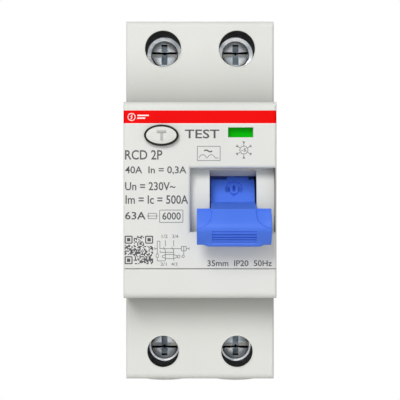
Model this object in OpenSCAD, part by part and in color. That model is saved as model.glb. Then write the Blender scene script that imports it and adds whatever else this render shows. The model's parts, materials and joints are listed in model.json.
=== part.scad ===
// Two-pole residual current device for a 35 mm rail, taken apart into its pieces.
// X runs across the device, Z up, and the front faces -Y. Millimetres.
// The origin is the centre of the face that sits on the rail.
// The device is drawn switched off, with the toggle down.

/* [Housing] */
// Width of the device, two modules side by side
body_w = 35; // [34.8:0.1:35.4]
// Height of the shoulders
body_h = 85; // [84.6:0.1:85.6]
// Height of the nose
nose_h = 45; // [44.8:0.1:45.2]
// Distance from the rail seat to the shoulders
shoulder_d = 44; // [43.8:0.1:44.4]
// Distance from the rail seat to the front of the nose
nose_d = 53.5; // [53.4:0.1:53.8]
// Distance from the rail seat to the joint between base and cover
joint_d = 34; // [33.9:0.05:34]
// How far the feet reach behind the rail seat
foot_d = 5.5; // [5.4:0.1:6]
// Wall of the housing
wall = 1.6; // [1.5:0.05:1.6]
// Rounding of the long edges across the front
edge_r = 1.5; // [1:0.1:1.6]
// Rounding of the upright edges
side_r = 0.6; // [0.4:0.1:0.8]

/* [Rail seat] */
// Width of the rail that the device clips to
rail_w = 35; // [34.8:0.1:35]
// Thickness of the gap behind the rail's flanges
flange_gap = 1.5; // [1.4:0.05:1.5]
// How far the lip and the clip reach over a flange
lip_reach = 1.4; // [1.2:0.1:1.6]
// How far the rail clip slides down
clip_travel = 4; // [3.5:0.1:4]

/* [Terminals] */
// Height of the terminal screws above and below the middle
terminal_z = 35.85; // [35.7:0.05:35.9]
// Radius of the screwdriver holes at the top
top_access_r = 4.27; // [4:0.01:4.3]
// Radius of the screwdriver holes at the bottom
bottom_access_r = 3.72; // [3.6:0.01:4.3]
// Radius of the terminal screw's washer head
screw_head_r = 4.5; // [4.4:0.05:4.5]
// Radius of the terminal screw's shank
screw_r = 2.5; // [2.2:0.1:2.6]
// Half the width of the wire entries
entry_r = 4.4; // [4:0.1:4.5]

/* [Toggle] */
// Distance from the rail seat to the toggle's pin
pivot_d = 38; // [38:0.05:38.1]
// Middle of the toggle, to the right of the device's middle
toggle_x = 7.65; // [7.6:0.01:7.7]
// Width of the toggle's handle
handle_w = 16.4; // [15:0.1:16.6]
// Width of the toggle's hub and neck
hub_w = 10.3; // [10:0.1:10.4]
// Angle from off to on
toggle_angle = 28; // [24:0.5:28]
// Radius of the drum-shaped floor of the toggle bay
drum_r = 13; // [12.9:0.1:13.1]

/* [Mechanism] */
// Turn of the contact carrier between off and on
carrier_angle = 10; // [8:0.5:10]
// Radius of the toggle's pin
toggle_pin_r = 1.5; // [1.3:0.1:1.5]
// Radius of the contact carrier's shaft
shaft_r = 1.2; // [1:0.05:1.3]
// Play between a pin and its hole, on the radius
play = 0.05; // [0.03:0.01:0.08]

/* [Front] */
// Half the width of the test button's hole
button_hole_a = 3.95; // [3.8:0.05:4]
// Half the height of the test button's hole
button_hole_b = 2.43; // [2.3:0.01:2.5]
// Gap around the test button
button_gap = 0.5; // [0.3:0.05:0.6]
// How far the test button stands out
button_proud = 1; // [0.6:0.1:1.2]
// Width of the flag window
window_w = 5.75; // [5:0.05:6]
// Height of the flag window
window_h = 2.3; // [2:0.1:2.5]

/* [Hidden] */

$fn = 48;
eps = 0.01;

// Housing
half_w = body_w / 2;
half_h = body_h / 2;
half_nose = nose_h / 2;
inner_x = half_w - wall;
inner_z = half_h - wall;
rail_half = rail_w / 2 + 0.2;
lip_z = rail_half - lip_reach;
seat_half = 15.5;
back_wall = 1.8;
chamber_z = 27;
chamber_back = 12.5;
partition = 1;
boss_x = 14.6;
boss_z = 23.5;
boss_r = 2.3;
long_screw_r = 1.2;
screw_recess_r = 2.2;
strip_z = -15.6;
strip_gap = 0.2;
strip_t = 1.1;
clip_half = 9;
clip_front = 1.6;
clip_back = 3.8;

// Terminals
terminal_x = body_w / 4;
entry_front = -27;
entry_back = -19;
collar_r = 6;
collar_h = 1.9;
cage_half = 5.2;
cage_wall = 1.5;
cage_front = -26.8;
cage_back = -13.7;
bar_front = -24.1;
bar_t = 1.5;
bar_half = 3.2;

// Toggle, in the plane across its pin: first number towards the front from the pin, second up
bay_x0 = -2.2;
bay_x1 = 17.2;
bay_z = 7.3;
mouth_r = 0.7;
drum_inner_r = 11.2;
slot_inner = [6.38, 5.33];
slot_outer = [11.3, 7.15];
slot_half = hub_w / 2 + 0.28;
hub_r = 8.3;
crank_r = 3.6;
crank_pin_r = 0.7;
link_x = 4.5;
link_slot = 0.7;
link_half = 0.4;
frame_x = [1.2, 13.3];
frame_t = 0.8;

// Contact carrier
carrier_y = -17;
carrier_z = -3;
carrier_r = 3.4;
lever_r = 10;
arm_half = 2;

// Trip parts
relay_x = -9.9;
lever_pin_y = -34.6;
lever_pin_z = -9.8;
lever_pin_r = 0.8;

// Test button and flag
button_x = -8.8;
button_z = 14.75;
window_x = 9.28;
window_z = 15.45;
flag_travel = 3.4;

// Transformer
core_y = -16.5;
core_z0 = -21;
core_z1 = -10;
core_out_r = 12;
core_in_r = 5.5;

// ---- Helpers ----

// Box from its lowest to its highest corner
module span(lo, hi) translate(lo) cube(hi - lo);

// Rods along the three axes, from one end to the other
module rod_x(r, x0, x1, y, z) translate([x0, y, z]) rotate([0, 90, 0]) cylinder(r = r, h = x1 - x0);
module rod_y(r, y0, y1, x, z) translate([x, y1, z]) rotate([90, 0, 0]) cylinder(r = r, h = y1 - y0);
module rod_z(r, z0, z1, x, y) translate([x, y, z0]) cylinder(r = r, h = z1 - z0);

// An outline of (height, depth) swept across the device
module along_x(x0, x1) translate([x1, 0, 0]) rotate([0, -90, 0]) linear_extrude(x1 - x0) children();

// An outline of (across, height) swept from front to back
module along_y(y0, y1) translate([0, y1, 0]) rotate([90, 0, 0]) linear_extrude(y1 - y0) children();

// An outline of (towards the front, height) about the toggle's pin, swept across the device
module about_pivot(x0, x1) along_x(x0, x1) translate([0, -pivot_d]) rotate(-90) children();

// Outline with its two front corners rounded
module front_rounded(half, front, back, r) {
    translate([-half, front + r]) square([2 * half, back - front - r]);
    translate([r - half, front]) square([2 * (half - r), back - front]);
    for (side = [-1, 1]) translate([side * (half - r), front + r]) circle(r);
}

// Block with rounded front edges, from the joint to the given depth
module rounded_block(half, depth) intersection() {
    along_x(-half_w, half_w) front_rounded(half, -depth, -joint_d, edge_r);
    linear_extrude(2 * half, center = true) front_rounded(half_w, -depth, -joint_d, side_r);
}

// Oval made of many short sides
module oval(a, b) polygon([for (t = [0 : 7.5 : 352.5]) [a * cos(t), b * sin(t)]]);

// Slot with round ends, along Y
module stadium(r, y0, y1) {
    translate([-r, y0]) square([2 * r, y1 - y0]);
    for (y = [y0, y1]) translate([0, y]) circle(r);
}

// Points of a ring of wire where a coil has turned by angle t
function coil_ring(r, wire, pitch, t, sides) = [for (k = [0 : sides - 1])
    let (a = 360 * k / sides)
    [(r + wire * cos(a)) * cos(t), (r + wire * cos(a)) * sin(t), pitch * t / 360 + wire * sin(a)]];

// Helical spring around Z, standing on z = 0, of the given length
module coil(r, wire, length, turns) {
    sides = 6;
    step = 22.5;
    last = turns * 360 / step;
    pitch = (length - 2 * wire) / turns;
    points = [for (i = [0 : last]) each coil_ring(r, wire, pitch, i * step, sides)];
    skin = [for (i = [0 : last - 1], k = [0 : sides - 1])
        let (a = i * sides + k, b = i * sides + (k + 1) % sides)
        [a, b, b + sides, a + sides]];
    caps = [[for (k = [sides - 1 : -1 : 0]) k], [for (k = [0 : sides - 1]) last * sides + k]];
    translate([0, 0, wire]) polyhedron(points, concat(skin, caps));
}

// Puts a piece made at the origin at each of the four terminals
module at_terminal(side, level) translate([side * terminal_x, 0, level * terminal_z]) children();

// ---- Housing ----

// Oval wire entry through the end wall, with its collar underneath
module wire_entry(r, z0, z1, side) {
    translate([side * terminal_x, 0, z0]) linear_extrude(z1 - z0) stadium(r, entry_front, entry_back);
}

// Walls that make a pair of terminal chambers, at the top or at the bottom
module chamber_walls(level) mirror([0, 0, level < 0 ? 1 : 0]) {
    difference() {
        span([-inner_x - eps, -joint_d, chamber_z], [inner_x + eps, -chamber_back + 1.2, chamber_z + 1]);
        for (side = [-1, 1]) {
            x = side * terminal_x;
            span([x - bar_half - 0.25, bar_front - 0.3, chamber_z - eps],
                [x + bar_half + 0.25, bar_front + bar_t + 0.3, chamber_z + 1 + eps]);
        }
    }
    span([-inner_x - eps, -chamber_back, chamber_z], [inner_x + eps, -chamber_back + 1.2, inner_z + eps]);
    span([-partition / 2, -joint_d, chamber_z], [partition / 2, -chamber_back + eps, inner_z + eps]);
}

module base_shell() difference() {
    span([-half_w, -joint_d, -half_h], [half_w, foot_d, half_h]);
    span([-inner_x, -joint_d - eps, -inner_z], [inner_x, -back_wall, inner_z]);
    // hollow of the upper foot
    span([-inner_x, -back_wall - eps, rail_half + wall], [inner_x, foot_d - wall, inner_z]);
    // rail channel, with the seat a little proud of its edges
    span([-half_w - eps, 0, -rail_half], [half_w + eps, foot_d + eps, rail_half]);
    for (s = [-1, 1]) {
        z = [s * seat_half, s * rail_half];
        span([-half_w - eps, -0.2, min(z)], [half_w + eps, eps, max(z)]);
    }
    // slot of the rail clip
    span([-clip_half - 0.2, clip_front - 0.1, -half_h - eps], [clip_half + 0.2, clip_back + 0.1, -rail_half + eps]);
}

module base_housing() color("gainsboro") difference() {
    union() {
        base_shell();
        span([-half_w, flange_gap, lip_z], [half_w, 3.8, rail_half + eps]);
        for (level = [-1, 1]) chamber_walls(level);
        for (side = [-1, 1]) {
            wire_entry(collar_r, -half_h - collar_h, -half_h + eps, side);
            // bearings of the carrier shaft
            x = [side * (inner_x + eps), side * 14.8];
            rod_x(3, min(x), max(x), carrier_y, carrier_z);
            for (z = [boss_z, -boss_z]) {
                rod_y(boss_r, -joint_d, -back_wall, side * boss_x, z);
                rod_y(boss_r + 0.5, -back_wall - 1, foot_d - 1, side * boss_x, z);
            }
        }
        // pillars that the mechanism frame stands on
        span([0.7, -30, 8.4], [2.5, -back_wall + eps, 10.4]);
        span([12.9, -30, 8.4], [14.7, -back_wall + eps, 10.4]);
        // cradle of the transformer
        span([-6, core_y + core_out_r + 0.1, core_z0 + 1], [6, -back_wall + eps, core_z1 - 1]);
        // peg that the clip's spring stands on
        span([-1.5, clip_front - 0.2, -37], [1.5, clip_back + 0.2, -36]);
    }
    for (side = [-1, 1]) {
        wire_entry(entry_r, -half_h - collar_h - eps, -inner_z + eps, side);
        wire_entry(entry_r, inner_z - eps, half_h + eps, side);
        x = [side * (inner_x - 0.1), side * 14.7];
        rod_x(shaft_r + play, min(x), max(x), carrier_y, carrier_z);
        for (z = [boss_z, -boss_z]) {
            rod_y(long_screw_r + play, -joint_d - eps, foot_d + eps, side * boss_x, z);
            rod_y(screw_recess_r, foot_d - 2.2, foot_d + eps, side * boss_x, z);
        }
    }
}

// Hollow of the toggle bay: its mouth is rounded and its floor is left to the drum
module bay_space() intersection() {
    along_x(bay_x0 - 1, bay_x1 + eps) {
        translate([-bay_z, -nose_d - eps]) square([2 * bay_z, 12]);
        for (s = [0, 1]) mirror([s, 0]) mouth_corner(bay_z);
    }
    linear_extrude(20, center = true) {
        translate([bay_x0, -nose_d - eps]) square([bay_x1 - bay_x0, 12]);
        mirror([1, 0]) mouth_corner(-bay_x0);
    }
}

// Corner between a wall at the given distance and the front, taken off by a quarter round
module mouth_corner(wall_at) difference() {
    translate([wall_at - eps, -nose_d - eps]) square(mouth_r + eps);
    translate([wall_at + mouth_r, -nose_d + mouth_r]) circle(mouth_r);
}

// Opening in the drum for the toggle's neck, narrower towards the pin
module slot_wedge() about_pivot(toggle_x - slot_half, toggle_x + slot_half) intersection() {
    circle(drum_r + eps);
    polygon([
        [0, 0], [slot_inner.x, -slot_inner.y], [slot_outer.x, -slot_outer.y], [drum_r + 2, -slot_outer.y],
        [drum_r + 2, slot_outer.y], [slot_outer.x, slot_outer.y], slot_inner
    ]);
}

module toggle_bay() difference() {
    span([bay_x0 - wall, -nose_d + 1, -bay_z - wall], [inner_x + eps, -43.9, bay_z + wall]);
    rod_x(drum_inner_r, bay_x0, inner_x + 1, -pivot_d, 0);
}

module cover_shell() difference() {
    union() {
        rounded_block(half_h, shoulder_d);
        rounded_block(half_nose, nose_d);
    }
    span([-inner_x, -shoulder_d + wall, -inner_z], [inner_x, -joint_d + eps, inner_z]);
    span([-inner_x, -nose_d + wall, strip_z + 1.4], [inner_x, -joint_d + eps, half_nose - wall]);
    span([-inner_x, -nose_d + wall + 0.7, -half_nose + wall], [inner_x, -joint_d + eps, strip_z + 1.5]);
}

module front_cover() color("whitesmoke") difference() {
    union() {
        cover_shell();
        toggle_bay();
        for (side = [-1, 1]) {
            rod_y(top_access_r + 1.3, -shoulder_d + 1, -joint_d, side * terminal_x, terminal_z);
            rod_y(bottom_access_r + 1.3, -shoulder_d + 1, -joint_d, side * terminal_x, -terminal_z);
            for (z = [boss_z, -boss_z]) rod_y(boss_r, -shoulder_d + 1, -joint_d, side * boss_x, z);
        }
        // shelf that guides the test button's stem
        span([-inner_x - eps, -46.8, 10.8], [-4.5, -45.6, half_nose - wall + eps]);
        // rails of the position flag
        for (x = [window_x - 4.3, window_x + 3.6])
            span([x, -nose_d + wall - eps, bay_z + wall], [x + 0.7, -50.6, half_nose - wall + eps]);
        // posts of the circuit board
        for (x = [-12, 12], z = [-12.2, -18.6]) rod_y(1.3, -nose_d + wall, -46, x, z);
    }
    difference() {
        bay_space();
        rod_x(drum_r, bay_x0 - 2, half_w, -pivot_d, 0);
    }
    slot_wedge();
    for (side = [-1, 1]) {
        rod_y(top_access_r, -shoulder_d - eps, -joint_d + eps, side * terminal_x, terminal_z);
        rod_y(bottom_access_r, -shoulder_d - eps, -joint_d + eps, side * terminal_x, -terminal_z);
        for (z = [boss_z, -boss_z])
            rod_y(long_screw_r + play, -shoulder_d + 2.4, -joint_d + eps, side * boss_x, z);
    }
    translate([button_x, 0, button_z]) {
        along_y(-nose_d - eps, -nose_d + wall + eps) oval(button_hole_a, button_hole_b);
        rod_y(1.38, -47, -45, 0, 0);
    }
    span([window_x - window_w / 2, -nose_d - eps, window_z - window_h / 2],
        [window_x + window_w / 2, -nose_d + wall + eps, window_z + window_h / 2]);
    span([-half_w - eps, -nose_d - eps, -half_nose - eps], [half_w + eps, -nose_d + strip_t, strip_z]);
}

module marker_strip() color("whitesmoke") intersection() {
    rounded_block(half_nose, nose_d);
    span([-half_w - 1, -nose_d - 1, -half_nose - 1], [half_w + 1, -nose_d + strip_t, strip_z - strip_gap]);
}

module assembly_screws() color("silver") for (side = [-1, 1], z = [boss_z, -boss_z]) {
    rod_y(long_screw_r, -shoulder_d + 2.6, foot_d - 2.1, side * boss_x, z);
    difference() {
        rod_y(screw_recess_r - 0.15, foot_d - 2.1, foot_d - 0.3, side * boss_x, z);
        for (s = [[1.5, 0.3], [0.3, 1.5]])
            span([side * boss_x - s[0], foot_d - 1.3, z - s[1]], [side * boss_x + s[0], foot_d, z + s[1]]);
    }
}

module rail_clip() color("dimgray") difference() {
    union() {
        span([-clip_half, clip_front, -half_h - 1.5], [clip_half, clip_back, -lip_z - 1]);
        // nose that hooks behind the lower flange, sloped so that it snaps over
        along_x(-clip_half, clip_half) polygon([[-lip_z - 1, clip_front], [-lip_z, clip_front],
            [-lip_z, clip_front + 0.8], [-lip_z - 1, clip_back]]);
    }
    span([-2, clip_front - eps, -38], [2, clip_back + eps, -22]);
    span([-2.6, clip_front - eps, -half_h - 0.3], [2.6, clip_back + eps, -half_h + 1]);
}

module rail_clip_spring() color("silver")
    translate([0, (clip_front + clip_back) / 2, -36]) coil(0.75, 0.25, 14, 6);

// ---- Switching mechanism ----

// Outline of the handle, seen from the side, with the toggle off
module handle_outline() polygon([
    [22.8, -2.0], [23.7, -3.1], [24.8, -4.6], [25.3, -5.5], [25.45, -6.3], [25.2, -7.1], [24.2, -8.4],
    [23.2, -9.5], [22.7, -10.0], [22.1, -10.2], [21.0, -9.9], [20.3, -9.2], [20.15, -7.6], [20.3, -2.4]
]);

// Outline of the neck between the hub and the handle
module neck_outline() polygon([
    [0, 0], [6.4, 5.4], [10.2, -0.9], [10.6, -0.5], [22, -1.9], [22, -7.8], [10.2, -5], [9.4, -3.9], [3, -7.7]
]);

module toggle() color("royalblue") {
    x0 = toggle_x - hub_w / 2;
    x1 = toggle_x + hub_w / 2;
    off = toggle_angle / 2;
    crank_y = -pivot_d + crank_r * sin(off);
    crank_z = -crank_r * cos(off);
    about_pivot(toggle_x - handle_w / 2, toggle_x + handle_w / 2) handle_outline();
    difference() {
        union() {
            about_pivot(x0, x1) rotate(-off) intersection() {
                circle(hub_r);
                translate([-5, -hub_r]) square([hub_r + 5, 2 * hub_r]);
            }
            about_pivot(x0, x1) neck_outline();
        }
        rod_x(toggle_pin_r + play, x0 - 1, x1 + 1, -pivot_d, 0);
        // pocket of the spring, and slot of the link around the pin's sleeve
        rod_x(3.2, x1 - 3, x1 + 1, -pivot_d, 0);
        difference() {
            span([link_x - link_slot, crank_y - 2.2, -9], [link_x + link_slot, -28, 9]);
            rod_x(toggle_pin_r + 0.45, x0, x1, -pivot_d, 0);
        }
    }
    rod_x(crank_pin_r, link_x - link_slot - eps, link_x + link_slot + eps, crank_y, crank_z);
}

module toggle_pin() color("silver") rod_x(toggle_pin_r, 0.8, 14.5, -pivot_d, 0);

module toggle_spring() color("silver")
    translate([toggle_x + hub_w / 2 - 2.8, -pivot_d, 0]) rotate([0, 90, 0]) coil(2.35, 0.3, 2.6, 3);

// Side plate of the mechanism frame
module frame_plate(x) difference() {
    union() {
        rod_x(7.6, x, x + frame_t, -pivot_d, 0);
        span([x, -38, -6], [x + frame_t, -26, 6]);
        span([x, -36.2, 0], [x + frame_t, -30, 10.4]);
    }
    rod_x(toggle_pin_r + play / 2, x - 1, x + 2, -pivot_d, 0);
}

module mechanism_frame() color("lightsteelblue") difference() {
    union() {
        for (x = frame_x) frame_plate(x);
        // bridge between the plates, and the ear of the trip lever's pin
        span([frame_x[0], -28.6, -6], [frame_x[1] + frame_t, -27.8, -4]);
        span([frame_x[0], lever_pin_y - 1.6, lever_pin_z - 1.6], [frame_x[0] + frame_t, lever_pin_y + 1.6, -2]);
    }
    rod_x(lever_pin_r + play / 2, 0, 3, lever_pin_y, lever_pin_z);
}

// Bar with an eye at each end; the far eye has room for the arc that its pin moves on
module link_rod() color("silver") {
    a = [-pivot_d + crank_r * sin(toggle_angle / 2), -crank_r * cos(toggle_angle / 2)];
    b = [carrier_y + lever_r * sin(carrier_angle / 2), carrier_z + lever_r * cos(carrier_angle / 2)];
    reach = norm(b - a);
    tilt = atan2(b[1] - a[1], b[0] - a[0]);
    translate([link_x - link_half, a[0], a[1]]) rotate([tilt, 0, 0]) rotate([0, 90, 0]) difference() {
        union() {
            cylinder(r = 1.3, h = 2 * link_half);
            translate([0, reach, 0]) cylinder(r = 1.5, h = 2 * link_half);
            translate([-0.5, 0, 0]) cube([1, reach, 2 * link_half]);
        }
        translate([0, 0, -1]) cylinder(r = crank_pin_r + play, h = 3);
        translate([0, reach, -1]) cylinder(r = 0.6 + 0.2, h = 3);
    }
}

// Turns what is drawn with the contacts closed to where it stands with the device off
module contacts_open() translate([0, carrier_y, carrier_z]) rotate([-carrier_angle, 0, 0])
    translate([0, -carrier_y, -carrier_z]) children();

module contact_carrier() color("saddlebrown") difference() {
    union() {
        rod_x(carrier_r, -14.5, 14.5, carrier_y, carrier_z);
        contacts_open() for (side = [-1, 1]) {
            x = side * terminal_x;
            span([x - 2.6, -16.6, carrier_z], [x + 2.6, -14.6, carrier_z + 11]);
            span([x - 2.6, -20.6, carrier_z - 1], [x + 2.6, -14.6, carrier_z + 4]);
        }
        lever_cheeks();
    }
    rod_x(shaft_r + play, -15, 15, carrier_y, carrier_z);
    contacts_open() for (side = [-1, 1]) {
        x = side * terminal_x;
        span([x - arm_half - play, -19.75, carrier_z - 5], [x + arm_half + play, -18.45, carrier_z + 5]);
    }
}

// Two cheeks that hold the link's far pin
module lever_cheeks() {
    pin = [carrier_y + lever_r * sin(carrier_angle / 2), carrier_z + lever_r * cos(carrier_angle / 2)];
    for (x = [link_x - 1.4, link_x + 0.7]) {
        rod_x(1.5, x, x + 0.7, pin[0], pin[1]);
        translate([x, carrier_y, carrier_z]) rotate([-carrier_angle / 2, 0, 0])
            translate([0, -1.3, 0]) cube([0.7, 2.6, lever_r]);
    }
    rod_x(0.6, link_x - 0.8, link_x + 0.8, pin[0], pin[1]);
}

module carrier_shaft() color("silver") rod_x(shaft_r, -15.7, 15.7, carrier_y, carrier_z);

// Moving contact: a copper blade with a silver button near its tip
module contact_arm(side) color("peru") contacts_open() {
    x = side * terminal_x;
    span([x - arm_half, -19.7, carrier_z - 4.4], [x + arm_half, -18.5, 23]);
    rod_y(1.7, -21.25, -19.69, x, 21);
}

// Springs between the carrier's horns and the contact arms
module contact_springs() color("silver") contacts_open() for (side = [-1, 1])
    translate([side * terminal_x, -16.65, carrier_z + 9]) rotate([90, 0, 0]) coil(1.2, 0.2, 1.75, 3);

// Line-side bar: runs from the terminal into the contact space
module line_bar(side) color("peru") {
    x = side * terminal_x;
    span([x - bar_half, bar_front, 18.4], [x + bar_half, bar_front + bar_t, terminal_z + 4.4]);
    rod_y(2, bar_front + bar_t - eps, -21.45, x, 21);
}

module pole_barrier() color("saddlebrown")
    span([-0.5, -33.4, 6.6], [0.5, -back_wall - 0.1, chamber_z - 0.1]);

// Load-side bar: from the terminal, through the transformer, to the flexible lead
module load_bar(side) color("peru") mirror([side < 0 ? 1 : 0, 0, 0]) {
    span([terminal_x - bar_half, bar_front, -terminal_z - 4.4], [terminal_x + bar_half, bar_front + bar_t, -24]);
    span([1.2, bar_front, -25.4], [terminal_x + bar_half, bar_front + bar_t, -23]);
    span([1.2, bar_front, -24.4], [3.6, core_y + 1.2, -23]);
    span([1.2, core_y - 1.2, -24.4], [3.6, core_y + 1.2, -7.4]);
}

// Braid from the load-side bar to the moving contact
module flexible_lead(side) color("chocolate") mirror([side < 0 ? 1 : 0, 0, 0]) {
    route = [[2.4, -18.4, -8.3], [4.6, -20.8, -8.9], [7.4, -22.6, -8.2], [terminal_x, -22.6, -6.2]];
    for (p = route) translate(p) sphere(0.7, $fn = 8);
    for (i = [0 : len(route) - 2]) strut(route[i], route[i + 1], 0.7, $fn = 8);
}

// Round bar between two points
module strut(a, b, r) {
    d = b - a;
    translate(a) rotate([0, acos(d[2] / norm(d)), atan2(d[1], d[0])]) cylinder(r = r, h = norm(d));
}

// Position flag: a plate behind the window, with a stem that the mechanism drives
module position_flag() color("limegreen") {
    span([window_x - 3.4, -51.75, window_z - 2.1], [window_x + 3.4, -51.25, window_z + 5.1]);
    span([window_x - 0.5, -51.26, window_z + 0.6], [window_x + 0.5, -47.2, window_z + 1.6]);
}

// ---- Terminals ----

// Clamp cage, at rest with the terminal open
module cage() color("lightgray") difference() {
    span([-cage_half, cage_front, -4], [cage_half, cage_back, 4]);
    span([-cage_half + cage_wall, cage_front + cage_wall, -5], [cage_half - cage_wall, cage_back - cage_wall, 5]);
    rod_y(screw_r + 0.06, cage_front - 1, cage_front + 2, 0, 0);
}

// Terminal screw: a washer head with a raised disc, slotted and crossed
module terminal_screw() color("lightgray") {
    difference() {
        union() {
            rod_y(screw_head_r, -33.1, -32, 0, 0);
            rod_y(3.2, -33.6, -32, 0, 0);
            rod_y(screw_r, -32, bar_front - 0.1, 0, 0);
        }
        span([-3.3, -34, -0.65], [3.3, -32.7, 0.65]);
        span([-0.68, -34, -2.55], [0.68, -32.2, 2.55]);
    }
}

// ---- Residual current sensing ----

// Ring around the transformer's axis, between two radii and two heights
module ring_z(r0, r1, z0, z1) translate([0, core_y, 0]) difference() {
    rod_z(r1, z0, z1, 0, 0);
    rod_z(r0, z0 - 1, z1 + 1, 0, 0);
}

module transformer_core() color("slategray") ring_z(7.8, 9.8, core_z0 + 2, core_z1 - 2);

module secondary_winding() color("chocolate") difference() {
    ring_z(7, 10.7, core_z0 + 1.1, core_z1 - 1.1);
    ring_z(7.75, 9.85, core_z0 + 1.95, core_z1 - 1.95);
}

module transformer_case() color("darkslategray") difference() {
    ring_z(core_in_r, core_out_r, core_z0, core_z1);
    ring_z(6.9, 10.8, core_z0 + 1, core_z1 - 1);
}

// ---- Trip relay and lever ----

module relay_case() color("darkslategray") {
    x0 = relay_x - 5.3;
    x1 = relay_x + 5.3;
    difference() {
        span([x0, -50, -7.5], [x1, -38.5, 7.5]);
        span([x0 + 0.8, -49.2, -6.7], [x1 - 0.8, -39.3, 6.7]);
        rod_y(0.98, -40, -38, relay_x, 0);
    }
    // ear that carries the far end of the lever's pin
    difference() {
        span([-13.6, -38.5, lever_pin_z - 1.6], [-12.4, -33.2, -6]);
        rod_x(lever_pin_r + play / 2, -14, -12, lever_pin_y, lever_pin_z);
    }
    span([-13.6, -38.6, -7.5], [-12.4, -37.9, -6]);
}

module relay_coil() color("chocolate") difference() {
    rod_y(3.8, -48.6, -40.4, relay_x, 0);
    rod_y(1.1, -49, -40, relay_x, 0);
}

module relay_magnet() color("dimgray") span([relay_x - 4, -48.6, 4.2], [relay_x + 4, -40.4, 6.5]);

module relay_plunger() color("silver") rod_y(0.93, -46.5, -37, relay_x, 0);

module trip_lever() color("saddlebrown") difference() {
    union() {
        rod_x(1.6, -12, 0.9, lever_pin_y, lever_pin_z);
        span([-12, -36.7, lever_pin_z], [-8, -35.7, 3]);
        span([-12, -36.2, lever_pin_z], [0.9, -35.2, lever_pin_z + 2.6]);
        span([-1.1, -36.2, lever_pin_z], [0.9, -35.2, 2]);
    }
    rod_x(lever_pin_r + play, -13, 2, lever_pin_y, lever_pin_z);
}

module trip_lever_pin() color("silver") rod_x(lever_pin_r, -13.5, 2, lever_pin_y, lever_pin_z);

module circuit_board() color("darkgreen") difference() {
    span([-14, -46, -20.3], [14, -44.8, -10.4]);
    for (x = [-12, 12], z = [-12.2, -18.6]) rod_y(0.6, -47, -44, x, z);
}

// Capacitor, resistors and diodes on the back of the board
module board_components() color("black") {
    rod_y(3, -44.8, -39, 6.6, -15.4);
    for (x = [-8, -5, -2]) rod_z(0.9, -18, -13, x, -43.9);
    span([-12.6, -44.8, -17.5], [-10, -42.6, -13.4]);
}

// ---- Test circuit ----

module test_button() color("whitesmoke") translate([button_x, 0, button_z]) {
    a = button_hole_a - button_gap;
    b = button_hole_b - button_gap;
    along_y(-nose_d - button_proud, -nose_d + wall + 0.1) oval(a, b);
    along_y(-nose_d + wall + 0.1, -nose_d + wall + 0.9) oval(a + 0.9, b + 0.9);
    rod_y(1.3, -nose_d + wall + 0.8, -46, 0, 0);
}

module test_button_spring() color("silver")
    translate([button_x, -46.8, button_z]) rotate([90, 0, 0]) coil(1.9, 0.2, 4.15, 4);

module test_contact_blade() color("peru") {
    span([-15.2, -44.5, button_z - 0.7], [button_x + 2, -44.2, button_z + 0.7]);
    span([-15.2, -44.3, button_z - 0.7], [-14.8, -37.6, button_z + 0.7]);
}

module test_resistor() color("tan") {
    rod_x(1.6, -13.4, -5.4, -39.5, button_z);
    rod_x(0.3, -14.7, -3.4, -39.5, button_z);
}

base_housing();
front_cover();
marker_strip();
assembly_screws();
rail_clip();
rail_clip_spring();
toggle();
toggle_pin();
toggle_spring();
mechanism_frame();
link_rod();
contact_carrier();
carrier_shaft();
contact_arm(-1);  // contact_arm_left
contact_arm(1);  // contact_arm_right
contact_springs();
line_bar(-1);  // line_bar_left
line_bar(1);  // line_bar_right
pole_barrier();
position_flag();
load_bar(-1);  // load_bar_left
load_bar(1);  // load_bar_right
flexible_lead(-1);  // flexible_lead_left
flexible_lead(1);  // flexible_lead_right
at_terminal(-1, 1) cage();  // cage_top_left
at_terminal(1, 1) cage();  // cage_top_right
at_terminal(-1, -1) cage();  // cage_bottom_left
at_terminal(1, -1) cage();  // cage_bottom_right
at_terminal(-1, 1) terminal_screw();  // screw_top_left
at_terminal(1, 1) terminal_screw();  // screw_top_right
at_terminal(-1, -1) terminal_screw();  // screw_bottom_left
at_terminal(1, -1) terminal_screw();  // screw_bottom_right
transformer_core();
secondary_winding();
transformer_case();
relay_case();
relay_coil();
relay_magnet();
relay_plunger();
trip_lever();
trip_lever_pin();
circuit_board();
board_components();
test_button();
test_button_spring();
test_contact_blade();
test_resistor();
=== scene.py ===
"""A two-pole residual current device: its looks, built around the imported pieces.

X runs across the device, Z up, and the front faces -Y. Sizes in the classes are millimetres.
"""

from __future__ import annotations

import json
import logging
import math
from collections.abc import Sequence
from dataclasses import dataclass, field
from enum import Enum

import bmesh
import bpy
from mathutils import Matrix, Vector

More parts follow.
